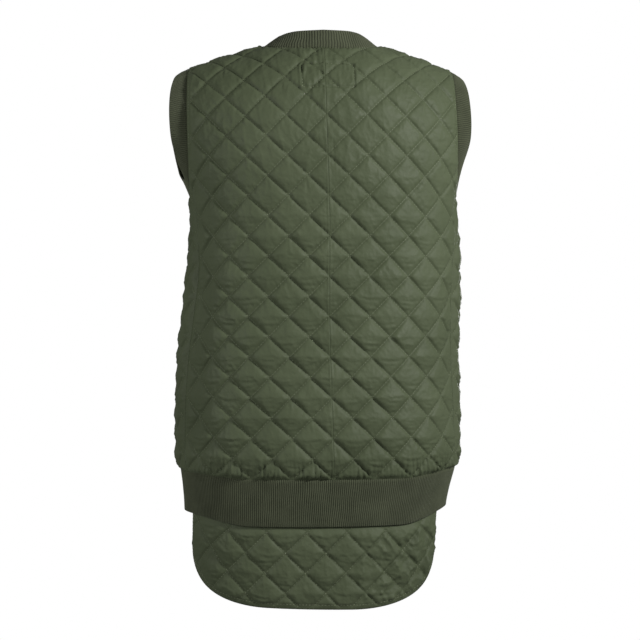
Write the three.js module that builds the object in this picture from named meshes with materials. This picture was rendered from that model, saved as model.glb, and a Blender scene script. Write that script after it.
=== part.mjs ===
// A quilted thermal vest, hollow as it hangs on the shoulders of a wearer.
// Millimetres, +Z up, front towards -Y. The origin is midway between the neck ends of the shoulder seams.
// Every panel is cut flat, in cloth coordinates, and then laid on the form that the worn vest takes.
import * as THREE from "three";

// Quilted cloth
const QUILT = 58.4; // diagonal of one quilted square
const STEP = QUILT / 4; // spacing of the points on the outer face of the cloth
const CROSSING = -235; // height at which two quilting lines cross on the centre back seam
const WALL = 2; // thickness of the cloth at a quilting line
const PUFF = 4.2; // how far the padding stands out between the lines
const PUFF_SHAPE = 0.6; // below 1 the padded squares are flat-topped
const EDGE_FADE = 13; // width of the pressed-down strip along an edge
const SEAM = 0.3; // gap between two pieces at a seam
const CLEAR = { outer: 0.46 * STEP, inner: 0.9 * STEP }; // the two faces' lattices keep this far from an edge
const SETTLE = { beside: 2, middle: 6 }; // turns the diagonals of the lattice along the quilting lines

// Form
const ROUNDNESS = 2.3; // power of the superellipse that a level section follows; 2 is an ellipse
const HEM = -645; // seam between the body and the waistband
const NECK_HALF_WIDTH = 84; // at the neck ends of the shoulder seams
const NECK_DROP = { back: 14, front: 76 };
const NECK_CURVE = { back: 2.4, front: 1.9 }; // powers of the neckline; a high one is flatter in the middle
const ARMHOLE_X = 200; // the armhole seams lie this far from the middle
const RIDGE_SLOPE = 0.326; // fall of the shoulder seam
const RIDGE_ROUND = 60; // rounds the ridge where it passes the neck
const SIDE_SEAM_BACK = { top: 38, low: 52 }; // the side seams sit this far behind the sides
const SIDE_LIFT = { left: 13, right: 20, from: 110, to: 200 }; // the sides of the waistband's foot are raised
const LIFT_START = HEM + 60; // height at which that lift begins
const FOLD_FADE = { low: 60, high: 90 }; // heights over which a fold comes and goes
const QUARTER_STEPS = 60; // chords in a quarter of a level section
const PROFILE_STEPS = 40; // chords from the shoulder seam down to the full depth
const NECK_STEPS = 80;
const ARMHOLE_STEPS = 160;

// Front closure
const PLACKET_HALF = STEP; // half the width of the strip over the opening
const OPENING_X = STEP / 2; // the fronts meet this far to the wearer's left
const PLACKET_GAP = 0.4;
const PLACKET_WALL = 1.6;
const STUD_RADIUS = 7.2;
const STUD_CROWN = 5.4; // radius of the flat top
const STUD_HEIGHT = 2.6;
const STUD_INSET = 24; // from the neckline to the first stud
const STUD_COUNT = 6;
const STUD_SIDES = 16;

// Knitted bands
const BAND_WALL = 2; // at the top of a rib
const RIB_DEPTH = 0.8;
const WAIST_RIB = 3.05; // spacing of the ribs
const ARM_RIB = 3.2;
const NECK_RIB = 4.3;
const WAIST_BOTTOM = -712;

// Tail flap, sewn in at the hem and hanging inside the waistband
const TAIL_BOTTOM = -832.5;
const TAIL_HALF = 206; // half its width along the cloth
// Its two lower corners are quarters of an ellipse.
const TAIL_CORNER = { left: { wide: 138, high: 68 }, right: { wide: 148, high: 74 } };
const TAIL_TILT = 0.025; // slope of its lower edge
const TAIL_BOW = 2; // how much higher that edge is at the sides
const TAIL_SHIFT = 9; // its quilting is set this far to the wearer's right of the centre back
const TAIL_MIDDLE = 17; // its middle hangs this far to the wearer's left of a column of crossings
const TAIL_CROSSING = -751; // height of a crossing on its middle
const TAIL_GAP = { top: 0.7, below: 1.7 }; // from its outer face to the waistband, at the seam and below

// Level sections of the form: half width, and depth behind and before the middle.
const SECTIONS = [
  { z: -834, half: 191, back: 121, front: 115 },
  { z: -712, half: 196, back: 124, front: 118 },
  { z: -645, half: 205.5, back: 129, front: 123 },
  { z: -628, half: 208.5, back: 132, front: 126 },
  { z: -600, half: 210, back: 134, front: 128 },
  { z: -540, half: 210.5, back: 131, front: 127 },
  { z: -470, half: 208, back: 127, front: 125 },
  { z: -400, half: 205, back: 123, front: 124 },
  { z: -320, half: 201, back: 121, front: 124 },
  { z: -270, half: 198, back: 122, front: 125 },
  { z: -235, half: 198.5, back: 123, front: 126 },
  { z: -205, half: 206, back: 124, front: 126 },
  { z: -170, half: 213, back: 124, front: 124 },
  { z: -120, half: 219, back: 122, front: 120 },
  { z: -60, half: 221, back: 118, front: 114 },
  { z: 20, half: 222, back: 112, front: 106 },
];
// How the depth grows below the shoulder seam: full at drop, by two powers.
const SHOULDER = {
  back: { drop: 130, inner: 2, outer: 0.5 },
  front: { drop: 200, inner: 1.25, outer: 0.55 },
};
// How much lower the shoulders hang, at each distance to the wearer's left.
const SHOULDER_DIP = [
  { x: -190, down: 4.5 },
  { x: -150, down: 3 },
  { x: -110, down: 2.5 },
  { x: -60, down: 0.5 },
  { x: 0, down: 0.5 },
  { x: 60, down: 2 },
  { x: 90, down: 3.5 },
  { x: 120, down: 4.8 },
  { x: 145, down: 3.6 },
  { x: 165, down: 3.8 },
  { x: 190, down: 4.5 },
];
// Soft folds of the hanging cloth: distance round from the centre back, heights, depth and width.
const FOLDS = [
  { at: 196, low: -625, high: -265, deep: 6, wide: 26 },
  { at: -206, low: -610, high: -300, deep: 5, wide: 22 },
  { at: 352, low: -600, high: -260, deep: 5, wide: 24 },
  { at: -356, low: -615, high: -290, deep: 5, wide: 26 },
];
// How far the hanging vest sways to the wearer's left.
const SWAY = [
  { z: -834, left: 9 },
  { z: -760, left: 9 },
  { z: -712, left: 7 },
  { z: -645, left: 3 },
  { z: -580, left: 3 },
  { z: -480, left: 2.5 },
  { z: -430, left: 0 },
  { z: -380, left: -3.5 },
  { z: -320, left: -6 },
  { z: -280, left: -7 },
  { z: -240, left: -4.5 },
  { z: -100, left: 0 },
  { z: 0, left: 0 },
];
// How far the centre back seam hangs off the middle, to the wearer's right.
const SEAM_LEAN = [
  { z: -645, right: 13 },
  { z: -580, right: 12 },
  { z: -480, right: 8.5 },
  { z: -430, right: 4.8 },
  { z: -380, right: 1 },
  { z: -320, right: -1.3 },
  { z: -280, right: -2 },
  { z: -240, right: -0.4 },
  { z: -200, right: 0 },
];
// Free edges of the bands, from their seams: distances at each turn of the ring, in degrees.
// An armhole's ring turns from its top to its foot; left and right are outwards on each side.
const ARM_BAND = [
  { turn: 0, left: 16, right: 14, up: -10, in: 0 },
  { turn: 50, left: 25, right: 21.5, up: -4, in: 3 },
  { turn: 95, left: 25, right: 21, up: 0, in: 6 },
  { turn: 130, left: 17, right: 9.5, up: 8, in: 8 },
  { turn: 155, left: 9, right: 2.5, up: 16, in: 6 },
  { turn: 180, left: 4, right: 0, up: 23, in: 0 },
];
const NECK_BAND = [
  { turn: 0, in: 7, up: 27.5 },
  { turn: 30, in: 11, up: 26 },
  { turn: 45, in: 15, up: 23 },
  { turn: 60, in: 19, up: 18 },
  { turn: 90, in: 25, up: 11 },
  { turn: 130, in: 18, up: 16 },
  { turn: 180, in: 12, up: 24 },
];

const FABRIC = new THREE.MeshStandardMaterial({ color: 0x4f5a41, roughness: 0.5, metalness: 0 });
const KNIT = new THREE.MeshStandardMaterial({ color: 0x3b4130, roughness: 0.9, metalness: 0 });
const METAL = new THREE.MeshStandardMaterial({ color: 0x2e3227, roughness: 0.4, metalness: 0.6 });

const clamp = THREE.MathUtils.clamp;
const smooth = THREE.MathUtils.smoothstep;

// A column of a table at a key, on a smooth curve through its rows.
function lookUp(table, key, at, column) {
  const last = table.length - 1;
  const x = clamp(at, table[0][key], table[last][key]);
  let i = 0;
  while (i < last - 1 && x > table[i + 1][key]) i++;
  const slope = (k) => {
    const a = table[Math.max(k - 1, 0)];
    const b = table[Math.min(k + 1, last)];
    return (b[column] - a[column]) / (b[key] - a[key]);
  };
  const span = table[i + 1][key] - table[i][key];
  const u = (x - table[i][key]) / span;
  const v = 1 - u;
  return (
    table[i][column] * v * v * (1 + 2 * u) +
    table[i + 1][column] * u * u * (1 + 2 * v) +
    slope(i) * span * u * v * v -
    slope(i + 1) * span * u * u * v
  );
}

// One quarter of a level section, as points with their distance along it from the centre line.
const quarters = new Map();
function quarter(height, side) {
  const name = side + height.toFixed(3);
  if (quarters.has(name)) return quarters.get(name);
  const half = lookUp(SECTIONS, "z", height, "half");
  const depth = lookUp(SECTIONS, "z", height, side);
  const made = [{ x: 0, y: depth, far: 0 }];
  for (let i = 1; i <= QUARTER_STEPS; i++) {
    const angle = (i / QUARTER_STEPS) * (Math.PI / 2);
    const x = half * Math.pow(Math.sin(angle), 2 / ROUNDNESS);
    const y = depth * Math.pow(Math.max(Math.cos(angle), 0), 2 / ROUNDNESS);
    const before = made[i - 1];
    made.push({ x, y, far: before.far + Math.hypot(x - before.x, y - before.y) });
  }
  quarters.set(name, made);
  return made;
}

const quarterLength = (height, side) => quarter(height, side).at(-1).far;

// Distance round the form from the centre back to the centre front.
const halfRound = (t) => quarterLength(t, "back") + quarterLength(t, "front");

// The point of a quarter where the column key has the value at.
function along(points, key, at) {
  let i = 1;
  while (i < points.length - 1 && points[i][key] < at) i++;
  const a = points[i - 1];
  const b = points[i];
  const share = clamp((at - a[key]) / (b[key] - a[key]), -1, 1);
  const mix = (column) => a[column] + share * (b[column] - a[column]);
  return { x: mix("x"), y: mix("y"), far: mix("far") };
}

// Height of the shoulder seam's ridge at a distance from the middle.
function ridge(x) {
  const level = Math.hypot(NECK_HALF_WIDTH, RIDGE_ROUND);
  return RIDGE_SLOPE * (level - Math.hypot(x, RIDGE_ROUND));
}

// Share of the section's depth that the cloth has reached at a fall below the ridge.
function depthShare(fall, side) {
  const { drop, inner, outer } = SHOULDER[side];
  const q = clamp(fall / drop, 0, 1);
  return Math.pow(1 - Math.pow(1 - q, inner), outer);
}

// Falls below the ridge, with the length of cloth from the ridge to each.
function shoulderProfile(depth, side) {
  const { drop } = SHOULDER[side];
  const made = [{ fall: 0, y: 0, length: 0 }];
  for (let i = 1; i <= PROFILE_STEPS; i++) {
    const fall = drop * (i / PROFILE_STEPS) ** 2;
    const y = depth * depthShare(fall, side);
    const before = made[i - 1];
    const length = before.length + Math.hypot(fall - before.fall, y - before.y);
    made.push({ fall, y, length });
  }
  return made;
}

function readProfile(profile, from, to, at) {
  let i = 1;
  while (i < profile.length - 1 && profile[i][from] < at) i++;
  const a = profile[i - 1];
  const b = profile[i];
  const share = (at - a[from]) / (b[from] - a[from]);
  return a[to] + clamp(share, 0, 1) * (b[to] - a[to]);
}

// Height in space of the cloth height t, above a point of the section, and back again.
function heightOf(t, x, depth, side) {
  const full = ridge(x) - SHOULDER[side].drop;
  if (t <= full) return t;
  const profile = shoulderProfile(depth, side);
  const left = profile.at(-1).length - (t - full);
  return ridge(x) - readProfile(profile, "length", "fall", Math.max(left, 0));
}
function clothHeight(z, x, depth, side) {
  const full = ridge(x) - SHOULDER[side].drop;
  if (z <= full) return z;
  const profile = shoulderProfile(depth, side);
  const up = profile.at(-1).length - readProfile(profile, "fall", "length", Math.max(ridge(x) - z, 0));
  return full + up;
}

// A point of the form. around is the distance from the centre back, positive to the wearer's left.
function formPoint(around, t) {
  const hand = Math.sign(around) || 1;
  const backLength = quarterLength(t, "back");
  const far = Math.abs(around);
  const side = far <= backLength ? "back" : "front";
  const total = halfRound(t);
  const point = along(quarter(t, side), "far", side === "back" ? far : Math.abs(total - far));
  const crossed = far > total ? -1 : 1;
  const z = heightOf(t, point.x, point.y, side);
  const y = point.y * depthShare(ridge(point.x) - z, side);
  return new THREE.Vector3(hand * crossed * point.x, side === "back" ? y : -y, z);
}

// Outward direction of the form, from two short chords.
function formNormal(around, t) {
  const reach = 1.5;
  const across = formPoint(around + reach, t).sub(formPoint(around - reach, t));
  const upwards = formPoint(around, t + reach).sub(formPoint(around, t - reach));
  return upwards.cross(across).normalize();
}

// The folds and the sway of the hanging cloth.
function drape(point, normal, around) {
  const z = point.z;
  for (const fold of FOLDS) {
    const beside = (around - fold.at) / fold.wide;
    const above = smooth(z, fold.low, fold.low + FOLD_FADE.low);
    const below = 1 - smooth(z, fold.high - FOLD_FADE.high, fold.high);
    point.addScaledVector(normal, -fold.deep * above * below * Math.exp(-beside * beside));
  }
  point.x += lookUp(SWAY, "z", z, "left");
  point.z -= lookUp(SHOULDER_DIP, "x", point.x, "down") * smooth(z, CROSSING, 0);
  const lift = around > 0 ? SIDE_LIFT.left : SIDE_LIFT.right;
  const low = smooth(-z, -LIFT_START, -WAIST_BOTTOM) * (1 - smooth(-z, -WAIST_BOTTOM, -TAIL_BOTTOM));
  point.z += lift * low * smooth(Math.abs(point.x), SIDE_LIFT.from, SIDE_LIFT.to);
  return point;
}

const lean = (t) => lookUp(SEAM_LEAN, "z", t, "right");

// A point of the worn vest, lifted off the inner face of the cloth.
function wornPoint(around, t, lift) {
  const normal = formNormal(around, t);
  return drape(formPoint(around, t), normal, around).addScaledVector(normal, lift);
}

// Cloth coordinates of a panel: s runs from its centre line, to the wearer's left when hand is 1.
const backCloth = (hand) => (s, t, lift) => wornPoint(hand * s - lean(t), t, lift);
const frontCloth = (hand) => (s, t, lift) => wornPoint(hand * (halfRound(t) - s), t, lift);

// The padding is pressed flat where the placket lies on it.
const besidePlacket = (p) => smooth(p.x, PLACKET_HALF, 2 * PLACKET_HALF);

// Where a point at x and height z lies in the cloth, as a distance from the centre line and a cloth height.
function clothPlace(x, z, side) {
  let t = z;
  let point;
  for (let i = 0; i < 5; i++) {
    point = along(quarter(t, side), "x", x);
    t = clothHeight(z, x, point.y, side);
  }
  return { far: point.far, t };
}

// Even points along a polyline, both ends kept.
function resample(points, spacing) {
  const far = [0];
  for (let i = 1; i < points.length; i++) far.push(far[i - 1] + points[i].distanceTo(points[i - 1]));
  const count = Math.max(1, Math.round(far.at(-1) / spacing));
  const made = [];
  let i = 1;
  for (let k = 0; k <= count; k++) {
    const at = (far.at(-1) * k) / count;
    while (i < points.length - 1 && far[i] < at) i++;
    made.push(points[i - 1].clone().lerp(points[i], (at - far[i - 1]) / (far[i] - far[i - 1])));
  }
  return made;
}

const range = (count) => Array.from({ length: count + 1 }, (_, k) => k / count);

// Cloth heights of the lattice rows between two heights, with both ends.
function rowHeights(low, high) {
  const made = [low];
  const first = Math.ceil((low - CROSSING) / STEP + 0.5);
  for (let j = first; CROSSING + j * STEP < high - STEP / 2; j++) made.push(CROSSING + j * STEP);
  made.push(high);
  return made;
}

// Neckline of one half, from the centre line to the shoulder seam.
function neckEdge(side, from) {
  const dense = range(NECK_STEPS).map((k) => {
    const angle = (k * Math.PI) / 2;
    const x = NECK_HALF_WIDTH * Math.sin(angle);
    const z = -NECK_DROP[side] * Math.pow(Math.max(Math.cos(angle), 0), 2 / NECK_CURVE[side]);
    const place = clothPlace(x, Math.min(z, ridge(x)), side);
    return new THREE.Vector2(place.far, place.t);
  });
  return dense.filter((p) => p.x >= from);
}

// Armhole of one half, from the shoulder seam down to the side seam.
function armholeEdge(side) {
  const bottom = armholeBottom();
  return range(ARMHOLE_STEPS).map((k) => {
    const z = bottom + (ridge(ARMHOLE_X) - bottom) * (1 - k) ** 2;
    const place = clothPlace(ARMHOLE_X, z, side);
    return new THREE.Vector2(place.far, place.t);
  });
}

// Height at which the form is just as wide as the armhole seams are apart, above the narrowest section.
function armholeBottom() {
  let z = CROSSING;
  while (lookUp(SECTIONS, "z", z, "half") < ARMHOLE_X) z += 0.25;
  return z;
}

// Distance from the centre line to the side seam, which drifts back below the arm.
const sideSeamBack = (t) => {
  return SIDE_SEAM_BACK.top + (SIDE_SEAM_BACK.low - SIDE_SEAM_BACK.top) * smooth(CROSSING - t, 0, 2 * QUILT);
};
const backWidth = (t) => quarterLength(t, "back") - sideSeamBack(t);
const frontWidth = (t) => quarterLength(t, "front") + sideSeamBack(t);

// The shoulder seam in the cloth of one side, at the same places on both sides.
function shoulderEdge(side) {
  const count = Math.round((ARMHOLE_X - NECK_HALF_WIDTH) / STEP);
  return range(count).map((k) => {
    const x = NECK_HALF_WIDTH + k * (ARMHOLE_X - NECK_HALF_WIDTH);
    const place = clothPlace(x, ridge(x), side);
    return new THREE.Vector2(place.far, place.t - SEAM / 2);
  });
}

// The outline of a back half, anticlockwise in cloth coordinates, as named edges.
function backOutline(hand) {
  const seamShift = (t) => hand * lean(t);
  const edgeAt = (t) => backWidth(t) + seamShift(t) - SEAM / 2;
  const shift = (p) => new THREE.Vector2(p.x + seamShift(p.y), p.y);
  const arm = armholeEdge("back").map(shift);
  const side = arm.findIndex((p) => p.x > edgeAt(p.y));
  const armhole = resample([...arm.slice(0, side), new THREE.Vector2(edgeAt(arm[side].y), arm[side].y)], STEP);
  const under = armhole.at(-1);
  const neck = neckEdge("back", 0).map(shift);
  neck[0].x = SEAM / 2;
  return {
    hem: hemEdge(SEAM / 2, edgeAt(HEM), HEM),
    side: rowHeights(HEM, under.y).map((t) => new THREE.Vector2(edgeAt(t), t)),
    armhole: armhole.reverse(),
    shoulder: shoulderEdge("back").map(shift).reverse(),
    neck: resample(neck, STEP).reverse(),
    centre: rowHeights(HEM, neck[0].y).map((t) => new THREE.Vector2(SEAM / 2, t)).reverse(),
  };
}

function hemEdge(from, to, low) {
  const first = Math.ceil(from / STEP + 0.5);
  const made = [new THREE.Vector2(from, low)];
  for (let i = first; i * STEP < to - STEP / 2; i++) made.push(new THREE.Vector2(i * STEP, low));
  made.push(new THREE.Vector2(to, low));
  return made;
}

// The outline of a front, which wraps round to the side seam. The opening is off the middle.
function frontOutline(hand) {
  const inner = hand * OPENING_X + SEAM / 2;
  const edgeAt = (t) => frontWidth(t) - SEAM / 2;
  const arm = armholeEdge("front");
  const behind = armholeEdge("back")
    .map((p) => new THREE.Vector2(halfRound(p.y) - p.x, p.y))
    .reverse()
    .filter((p) => p.x < edgeAt(p.y) - 1);
  const meeting = backOutline(1).armhole[0].y;
  const last = new THREE.Vector2(edgeAt(meeting), meeting);
  const armhole = resample([...arm, ...behind.slice(1), last], STEP);
  const neck = neckEdge("front", Math.max(inner, 0));
  const start = neckEdge("front", 0)[0];
  if (inner < 0) neck.unshift(new THREE.Vector2(inner, start.y));
  neck[0].x = inner;
  return {
    hem: hemEdge(inner, edgeAt(HEM), HEM),
    side: rowHeights(HEM, last.y).map((t) => new THREE.Vector2(edgeAt(t), t)),
    armhole: armhole.reverse(),
    shoulder: shoulderEdge("front").reverse(),
    neck: resample(neck, STEP).reverse(),
    centre: rowHeights(HEM, neck[0].y).map((t) => new THREE.Vector2(inner, t)).reverse(),
  };
}

// The outline as one ring, each corner once.
function ringOf(outline) {
  return Object.values(outline).flatMap((edge) => edge.slice(0, -1));
}

function insideRing(ring, p) {
  let inside = false;
  for (let i = 0, j = ring.length - 1; i < ring.length; j = i++) {
    const a = ring[i];
    const b = ring[j];
    if (a.y > p.y !== b.y > p.y && p.x < ((b.x - a.x) * (p.y - a.y)) / (b.y - a.y) + a.x) inside = !inside;
  }
  return inside;
}

function ringDistance(ring, p) {
  let best = Infinity;
  for (let i = 0, j = ring.length - 1; i < ring.length; j = i++) {
    const a = ring[j];
    const dx = ring[i].x - a.x;
    const dy = ring[i].y - a.y;
    const share = clamp(((p.x - a.x) * dx + (p.y - a.y) * dy) / (dx * dx + dy * dy || 1), 0, 1);
    best = Math.min(best, Math.hypot(p.x - a.x - share * dx, p.y - a.y - share * dy));
  }
  return best;
}

// Delaunay triangles of points. lift is a small extra height of each point's place on the
// paraboloid, which settles the diagonal of a square of points.
function triangulate(points, lift) {
  const far = 1e5;
  const all = [...points.map((p) => [p.x, p.y]), [-far, -far], [far, -far], [0, far]];
  const extra = [...lift, 0, 0, 0];
  const n = points.length;
  let triangles = [[n, n + 1, n + 2]];
  const within = ([a, b, c], p) => {
    const row = (i) => {
      const x = all[i][0] - all[p][0];
      const y = all[i][1] - all[p][1];
      return [x, y, x * x + y * y + extra[i] - extra[p]];
    };
    const [u, v, w] = [row(a), row(b), row(c)];
    const first = u[0] * (v[1] * w[2] - v[2] * w[1]);
    const second = u[1] * (v[0] * w[2] - v[2] * w[0]);
    const third = u[2] * (v[0] * w[1] - v[1] * w[0]);
    return first - second + third > 0;
  };
  for (let p = 0; p < n; p++) {
    const edges = new Map();
    const kept = [];
    for (const triangle of triangles) {
      if (!within(triangle, p)) {
        kept.push(triangle);
        continue;
      }
      for (let k = 0; k < 3; k++) {
        const a = triangle[k];
        const b = triangle[(k + 1) % 3];
        if (!edges.delete(b + "," + a)) edges.set(a + "," + b, [a, b]);
      }
    }
    triangles = [...kept, ...[...edges.values()].map(([a, b]) => [a, b, p])];
  }
  return triangles.filter((triangle) => triangle.every((i) => i < n));
}

// Points inside a ring on a lattice that is anchored at a crossing on the centre line.
function latticeInside(ring, crossing, across, up, clear) {
  const made = [];
  const lowX = Math.min(...ring.map((p) => p.x));
  const highX = Math.max(...ring.map((p) => p.x));
  const lowY = Math.min(...ring.map((p) => p.y));
  const highY = Math.max(...ring.map((p) => p.y));
  for (let j = Math.ceil((lowY - crossing) / up); crossing + j * up < highY; j++) {
    for (let i = Math.ceil(lowX / across); i * across < highX; i++) {
      const p = new THREE.Vector2(i * across, crossing + j * up);
      if (insideRing(ring, p) && ringDistance(ring, p) > clear) made.push(p);
    }
  }
  return made;
}

// Height of the padding over the quilting lines, 0 on a line and 1 in the middle of a square.
function padding(p, crossing) {
  const u = (Math.PI * (p.x + p.y - crossing)) / QUILT;
  const v = (Math.PI * (p.x - p.y + crossing)) / QUILT;
  return Math.pow(Math.abs(Math.sin(u) * Math.sin(v)), PUFF_SHAPE);
}

// A skin of triangles over a ring and the points inside it.
function skin(ring, inside, liftOf) {
  const points = [...ring, ...inside];
  const triangles = triangulate(points, points.map(liftOf));
  return triangles.filter(([a, b, c]) => {
    const middle = new THREE.Vector2().add(points[a]).add(points[b]).add(points[c]).divideScalar(3);
    return insideRing(ring, middle);
  });
}

// A closed mesh, with its triangles turned to face out whichever way round they were listed.
function solid(name, material, positions, triangles) {
  const cross = new THREE.Vector3();
  const volume = triangles.reduce(
    (sum, [a, b, c]) => sum + cross.crossVectors(positions[a], positions[b]).dot(positions[c]),
    0,
  );
  const facing = volume < 0 ? triangles.map(([a, b, c]) => [a, c, b]) : triangles;
  const geometry = new THREE.BufferGeometry();
  geometry.setAttribute("position", new THREE.Float32BufferAttribute(positions.flatMap((p) => p.toArray()), 3));
  geometry.setIndex(facing.flat());
  const mesh = new THREE.Mesh(geometry, material);
  mesh.name = name;
  return mesh;
}

// A quilted panel: a padded outer face over a plain inner one, joined along the outline.
// pressed is the share of the padding's height that is left at a point.
function quiltedPanel(name, ring, place, crossing, pressed) {
  const settle = (p) => {
    const rise = padding(p, crossing);
    if (rise < 0.01) return 0;
    return rise > 0.99 ? SETTLE.middle : SETTLE.beside;
  };
  const outerInside = latticeInside(ring, crossing, STEP, STEP, CLEAR.outer);
  const innerInside = latticeInside(ring, crossing, 2 * STEP, 4 * STEP, CLEAR.inner);
  const outer = skin(ring, outerInside, settle);
  const inner = skin(ring, innerInside, () => 0);
  const count = ring.length;
  const rise = (p) => PUFF * padding(p, crossing) * smooth(ringDistance(ring, p), 0, EDGE_FADE) * pressed(p);
  const positions = [
    ...ring.map((p) => place(p.x, p.y, WALL)),
    ...outerInside.map((p) => place(p.x, p.y, WALL + rise(p))),
    ...ring.map((p) => place(p.x, p.y, 0)),
    ...innerInside.map((p) => place(p.x, p.y, 0)),
  ];
  const base = count + outerInside.length;
  const triangles = [...outer, ...inner.map(([a, b, c]) => [base + a, base + c, base + b])];
  for (let i = 0; i < count; i++) {
    const j = (i + 1) % count;
    triangles.push([i, base + i, j], [j, base + i, base + j]);
  }
  return solid(name, FABRIC, positions, triangles);
}

// A ribbed knitted band between a seam and a free edge. Each station has the inner and outer points
// of both; ribs fill each stretch between two stations.
function ribbedBand(name, stations, spacing, closed) {
  const positions = [];
  const triangles = [];
  const add = (p) => positions.push(p) - 1;
  const face = (a, b, c) => triangles.push([a, b, c]);
  const count = stations.length;
  const inner = stations.map((s) => ({ seam: add(s.seamIn), free: add(s.freeIn) }));
  const onLine = (a, b, k, key, rise) => {
    const foot = a[key + "In"].clone().lerp(b[key + "In"], k);
    const top = a[key + "Out"].clone().lerp(b[key + "Out"], k);
    return foot.add(top.sub(foot).setLength(rise));
  };
  const stretches = closed ? count : count - 1;
  const columns = [];
  for (let i = 0; i < stretches; i++) {
    const a = stations[i];
    const b = stations[(i + 1) % count];
    const ribs = Math.max(1, Math.round(a.seamOut.distanceTo(b.seamOut) / spacing));
    for (let k = 0; k < 2 * ribs; k++) {
      const rise = BAND_WALL - (k % 2 ? 0 : RIB_DEPTH);
      const share = k / (2 * ribs);
      const seam = add(onLine(a, b, share, "seam", rise));
      columns.push({ seam, free: add(onLine(a, b, share, "free", rise)), i });
    }
  }
  if (!closed) {
    const last = stations[count - 1];
    const rise = BAND_WALL - RIB_DEPTH;
    const ends = ["seam", "free"].map((key) => add(onLine(last, last, 0, key, rise)));
    columns.push({ seam: ends[0], free: ends[1], i: stretches });
  }
  const steps = closed ? columns.length : columns.length - 1;
  for (let k = 0; k < steps; k++) {
    const a = columns[k];
    const b = columns[(k + 1) % columns.length];
    const here = inner[a.i];
    face(a.seam, b.seam, a.free);
    face(b.seam, b.free, a.free);
    face(a.seam, here.seam, b.seam);
    face(a.free, b.free, here.free);
    if (b.i !== a.i) {
      const next = inner[(a.i + 1) % count];
      face(b.seam, here.seam, next.seam);
      face(b.free, next.free, here.free);
      face(here.seam, here.free, next.seam);
      face(next.seam, here.free, next.free);
    }
  }
  if (!closed) {
    const [first, last] = [columns[0], columns.at(-1)];
    const [start, end] = [inner[0], inner[count - 1]];
    face(first.seam, first.free, start.seam);
    face(start.seam, first.free, start.free);
    face(last.seam, end.seam, last.free);
    face(end.seam, end.free, last.free);
  }
  return solid(name, KNIT, positions, triangles);
}

// Inner and outer points of a panel's edge.
const edgePairs = (edge, place) => edge.map((p) => ({ in: place(p.x, p.y, 0), out: place(p.x, p.y, WALL) }));

const midPair = (a, b) => ({ in: a.in.clone().lerp(b.in, 0.5), out: a.out.clone().lerp(b.out, 0.5) });

// Edges end to end, with one point in place of the two where panels meet.
function joinPairs(edges) {
  return edges.reduce((made, edge) => [...made.slice(0, -1), midPair(made.at(-1), edge[0]), ...edge.slice(1)]);
}

// The stations of a band whose seam follows pairs of points. offsetOf gives the way to the free edge.
function bandStations(pairs, closed, offsetOf) {
  const count = pairs.length;
  return pairs.map((pair, i) => {
    const before = pairs[closed ? (i + count - 1) % count : Math.max(i - 1, 0)];
    const after = pairs[closed ? (i + 1) % count : Math.min(i + 1, count - 1)];
    const offset = offsetOf(pair);
    const thick = pair.out.clone().sub(pair.in);
    const away = offset.clone().projectOnPlane(thick.clone().normalize()).setLength(SEAM);
    const facing = after.in.clone().sub(before.in).cross(offset);
    const side = Math.sign(facing.dot(thick));
    const free = pair.in.clone().add(offset);
    return {
      seamIn: pair.in.clone().add(away),
      seamOut: pair.out.clone().add(away),
      freeIn: free,
      freeOut: free.clone().addScaledVector(facing.normalize(), side * BAND_WALL),
    };
  });
}

// Middle and half size of a ring of pairs.
function ringBox(pairs) {
  const box = new THREE.Box3().setFromPoints(pairs.map((pair) => pair.in));
  const half = box.getSize(new THREE.Vector3()).multiplyScalar(0.5);
  return { middle: box.getCenter(new THREE.Vector3()), half };
}

// How far round a ring a point lies, in degrees from 0 to 180.
const turnOf = (aside, ahead) => Math.abs(Math.atan2(aside, ahead)) * THREE.MathUtils.RAD2DEG;

function armholeBand(name, hand, back, front) {
  const behind = edgePairs(back.outline.armhole, back.place);
  const before = edgePairs(front.outline.armhole, front.place).reverse();
  const ring = joinPairs([behind, before]);
  ring[0] = midPair(ring[0], ring.pop());
  const { middle, half } = ringBox(ring);
  const outwards = hand > 0 ? "left" : "right";
  const offsetOf = (pair) => {
    const inwards = middle.clone().sub(pair.in).setX(0).normalize();
    const turn = turnOf(inwards.y / half.y, -inwards.z / half.z);
    const read = (column) => lookUp(ARM_BAND, "turn", turn, column);
    return new THREE.Vector3(hand * read(outwards), 0, read("up")).addScaledVector(inwards, read("in"));
  };
  return ribbedBand(name, bandStations(ring, true, offsetOf), ARM_RIB, true);
}

function neckBand(panels) {
  const { back_left: bl, back_right: br, front_left: fl, front_right: fr } = panels;
  const ring = joinPairs([
    edgePairs(fl.outline.neck, fl.place).reverse(),
    edgePairs(bl.outline.neck, bl.place),
    edgePairs(br.outline.neck, br.place).reverse(),
    edgePairs(fr.outline.neck, fr.place),
  ]);
  const { middle, half } = ringBox(ring);
  const offsetOf = (pair) => {
    const inwards = middle.clone().sub(pair.in).setZ(0).normalize();
    const turn = turnOf(inwards.x / half.x, -inwards.y / half.y);
    const read = (column) => lookUp(NECK_BAND, "turn", turn, column);
    return inwards.multiplyScalar(read("in")).add(new THREE.Vector3(0, 0, read("up")));
  };
  return ribbedBand("neck_rib", bandStations(ring, false, offsetOf), NECK_RIB, false);
}

// The waistband runs from one side of the opening round the back to the other.
function waistBand() {
  const top = HEM - SEAM;
  const count = Math.round((2 * halfRound(top)) / STEP);
  const stations = range(count).map((k) => {
    const spot = (t, lift) => {
      const half = halfRound(t) - SEAM / 2;
      return wornPoint(-half - OPENING_X + 2 * half * k, t, lift);
    };
    return {
      seamIn: spot(top, 0),
      seamOut: spot(top, BAND_WALL),
      freeIn: spot(WAIST_BOTTOM, 0),
      freeOut: spot(WAIST_BOTTOM, BAND_WALL),
    };
  });
  return ribbedBand("waistband", stations, WAIST_RIB, false);
}

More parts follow.
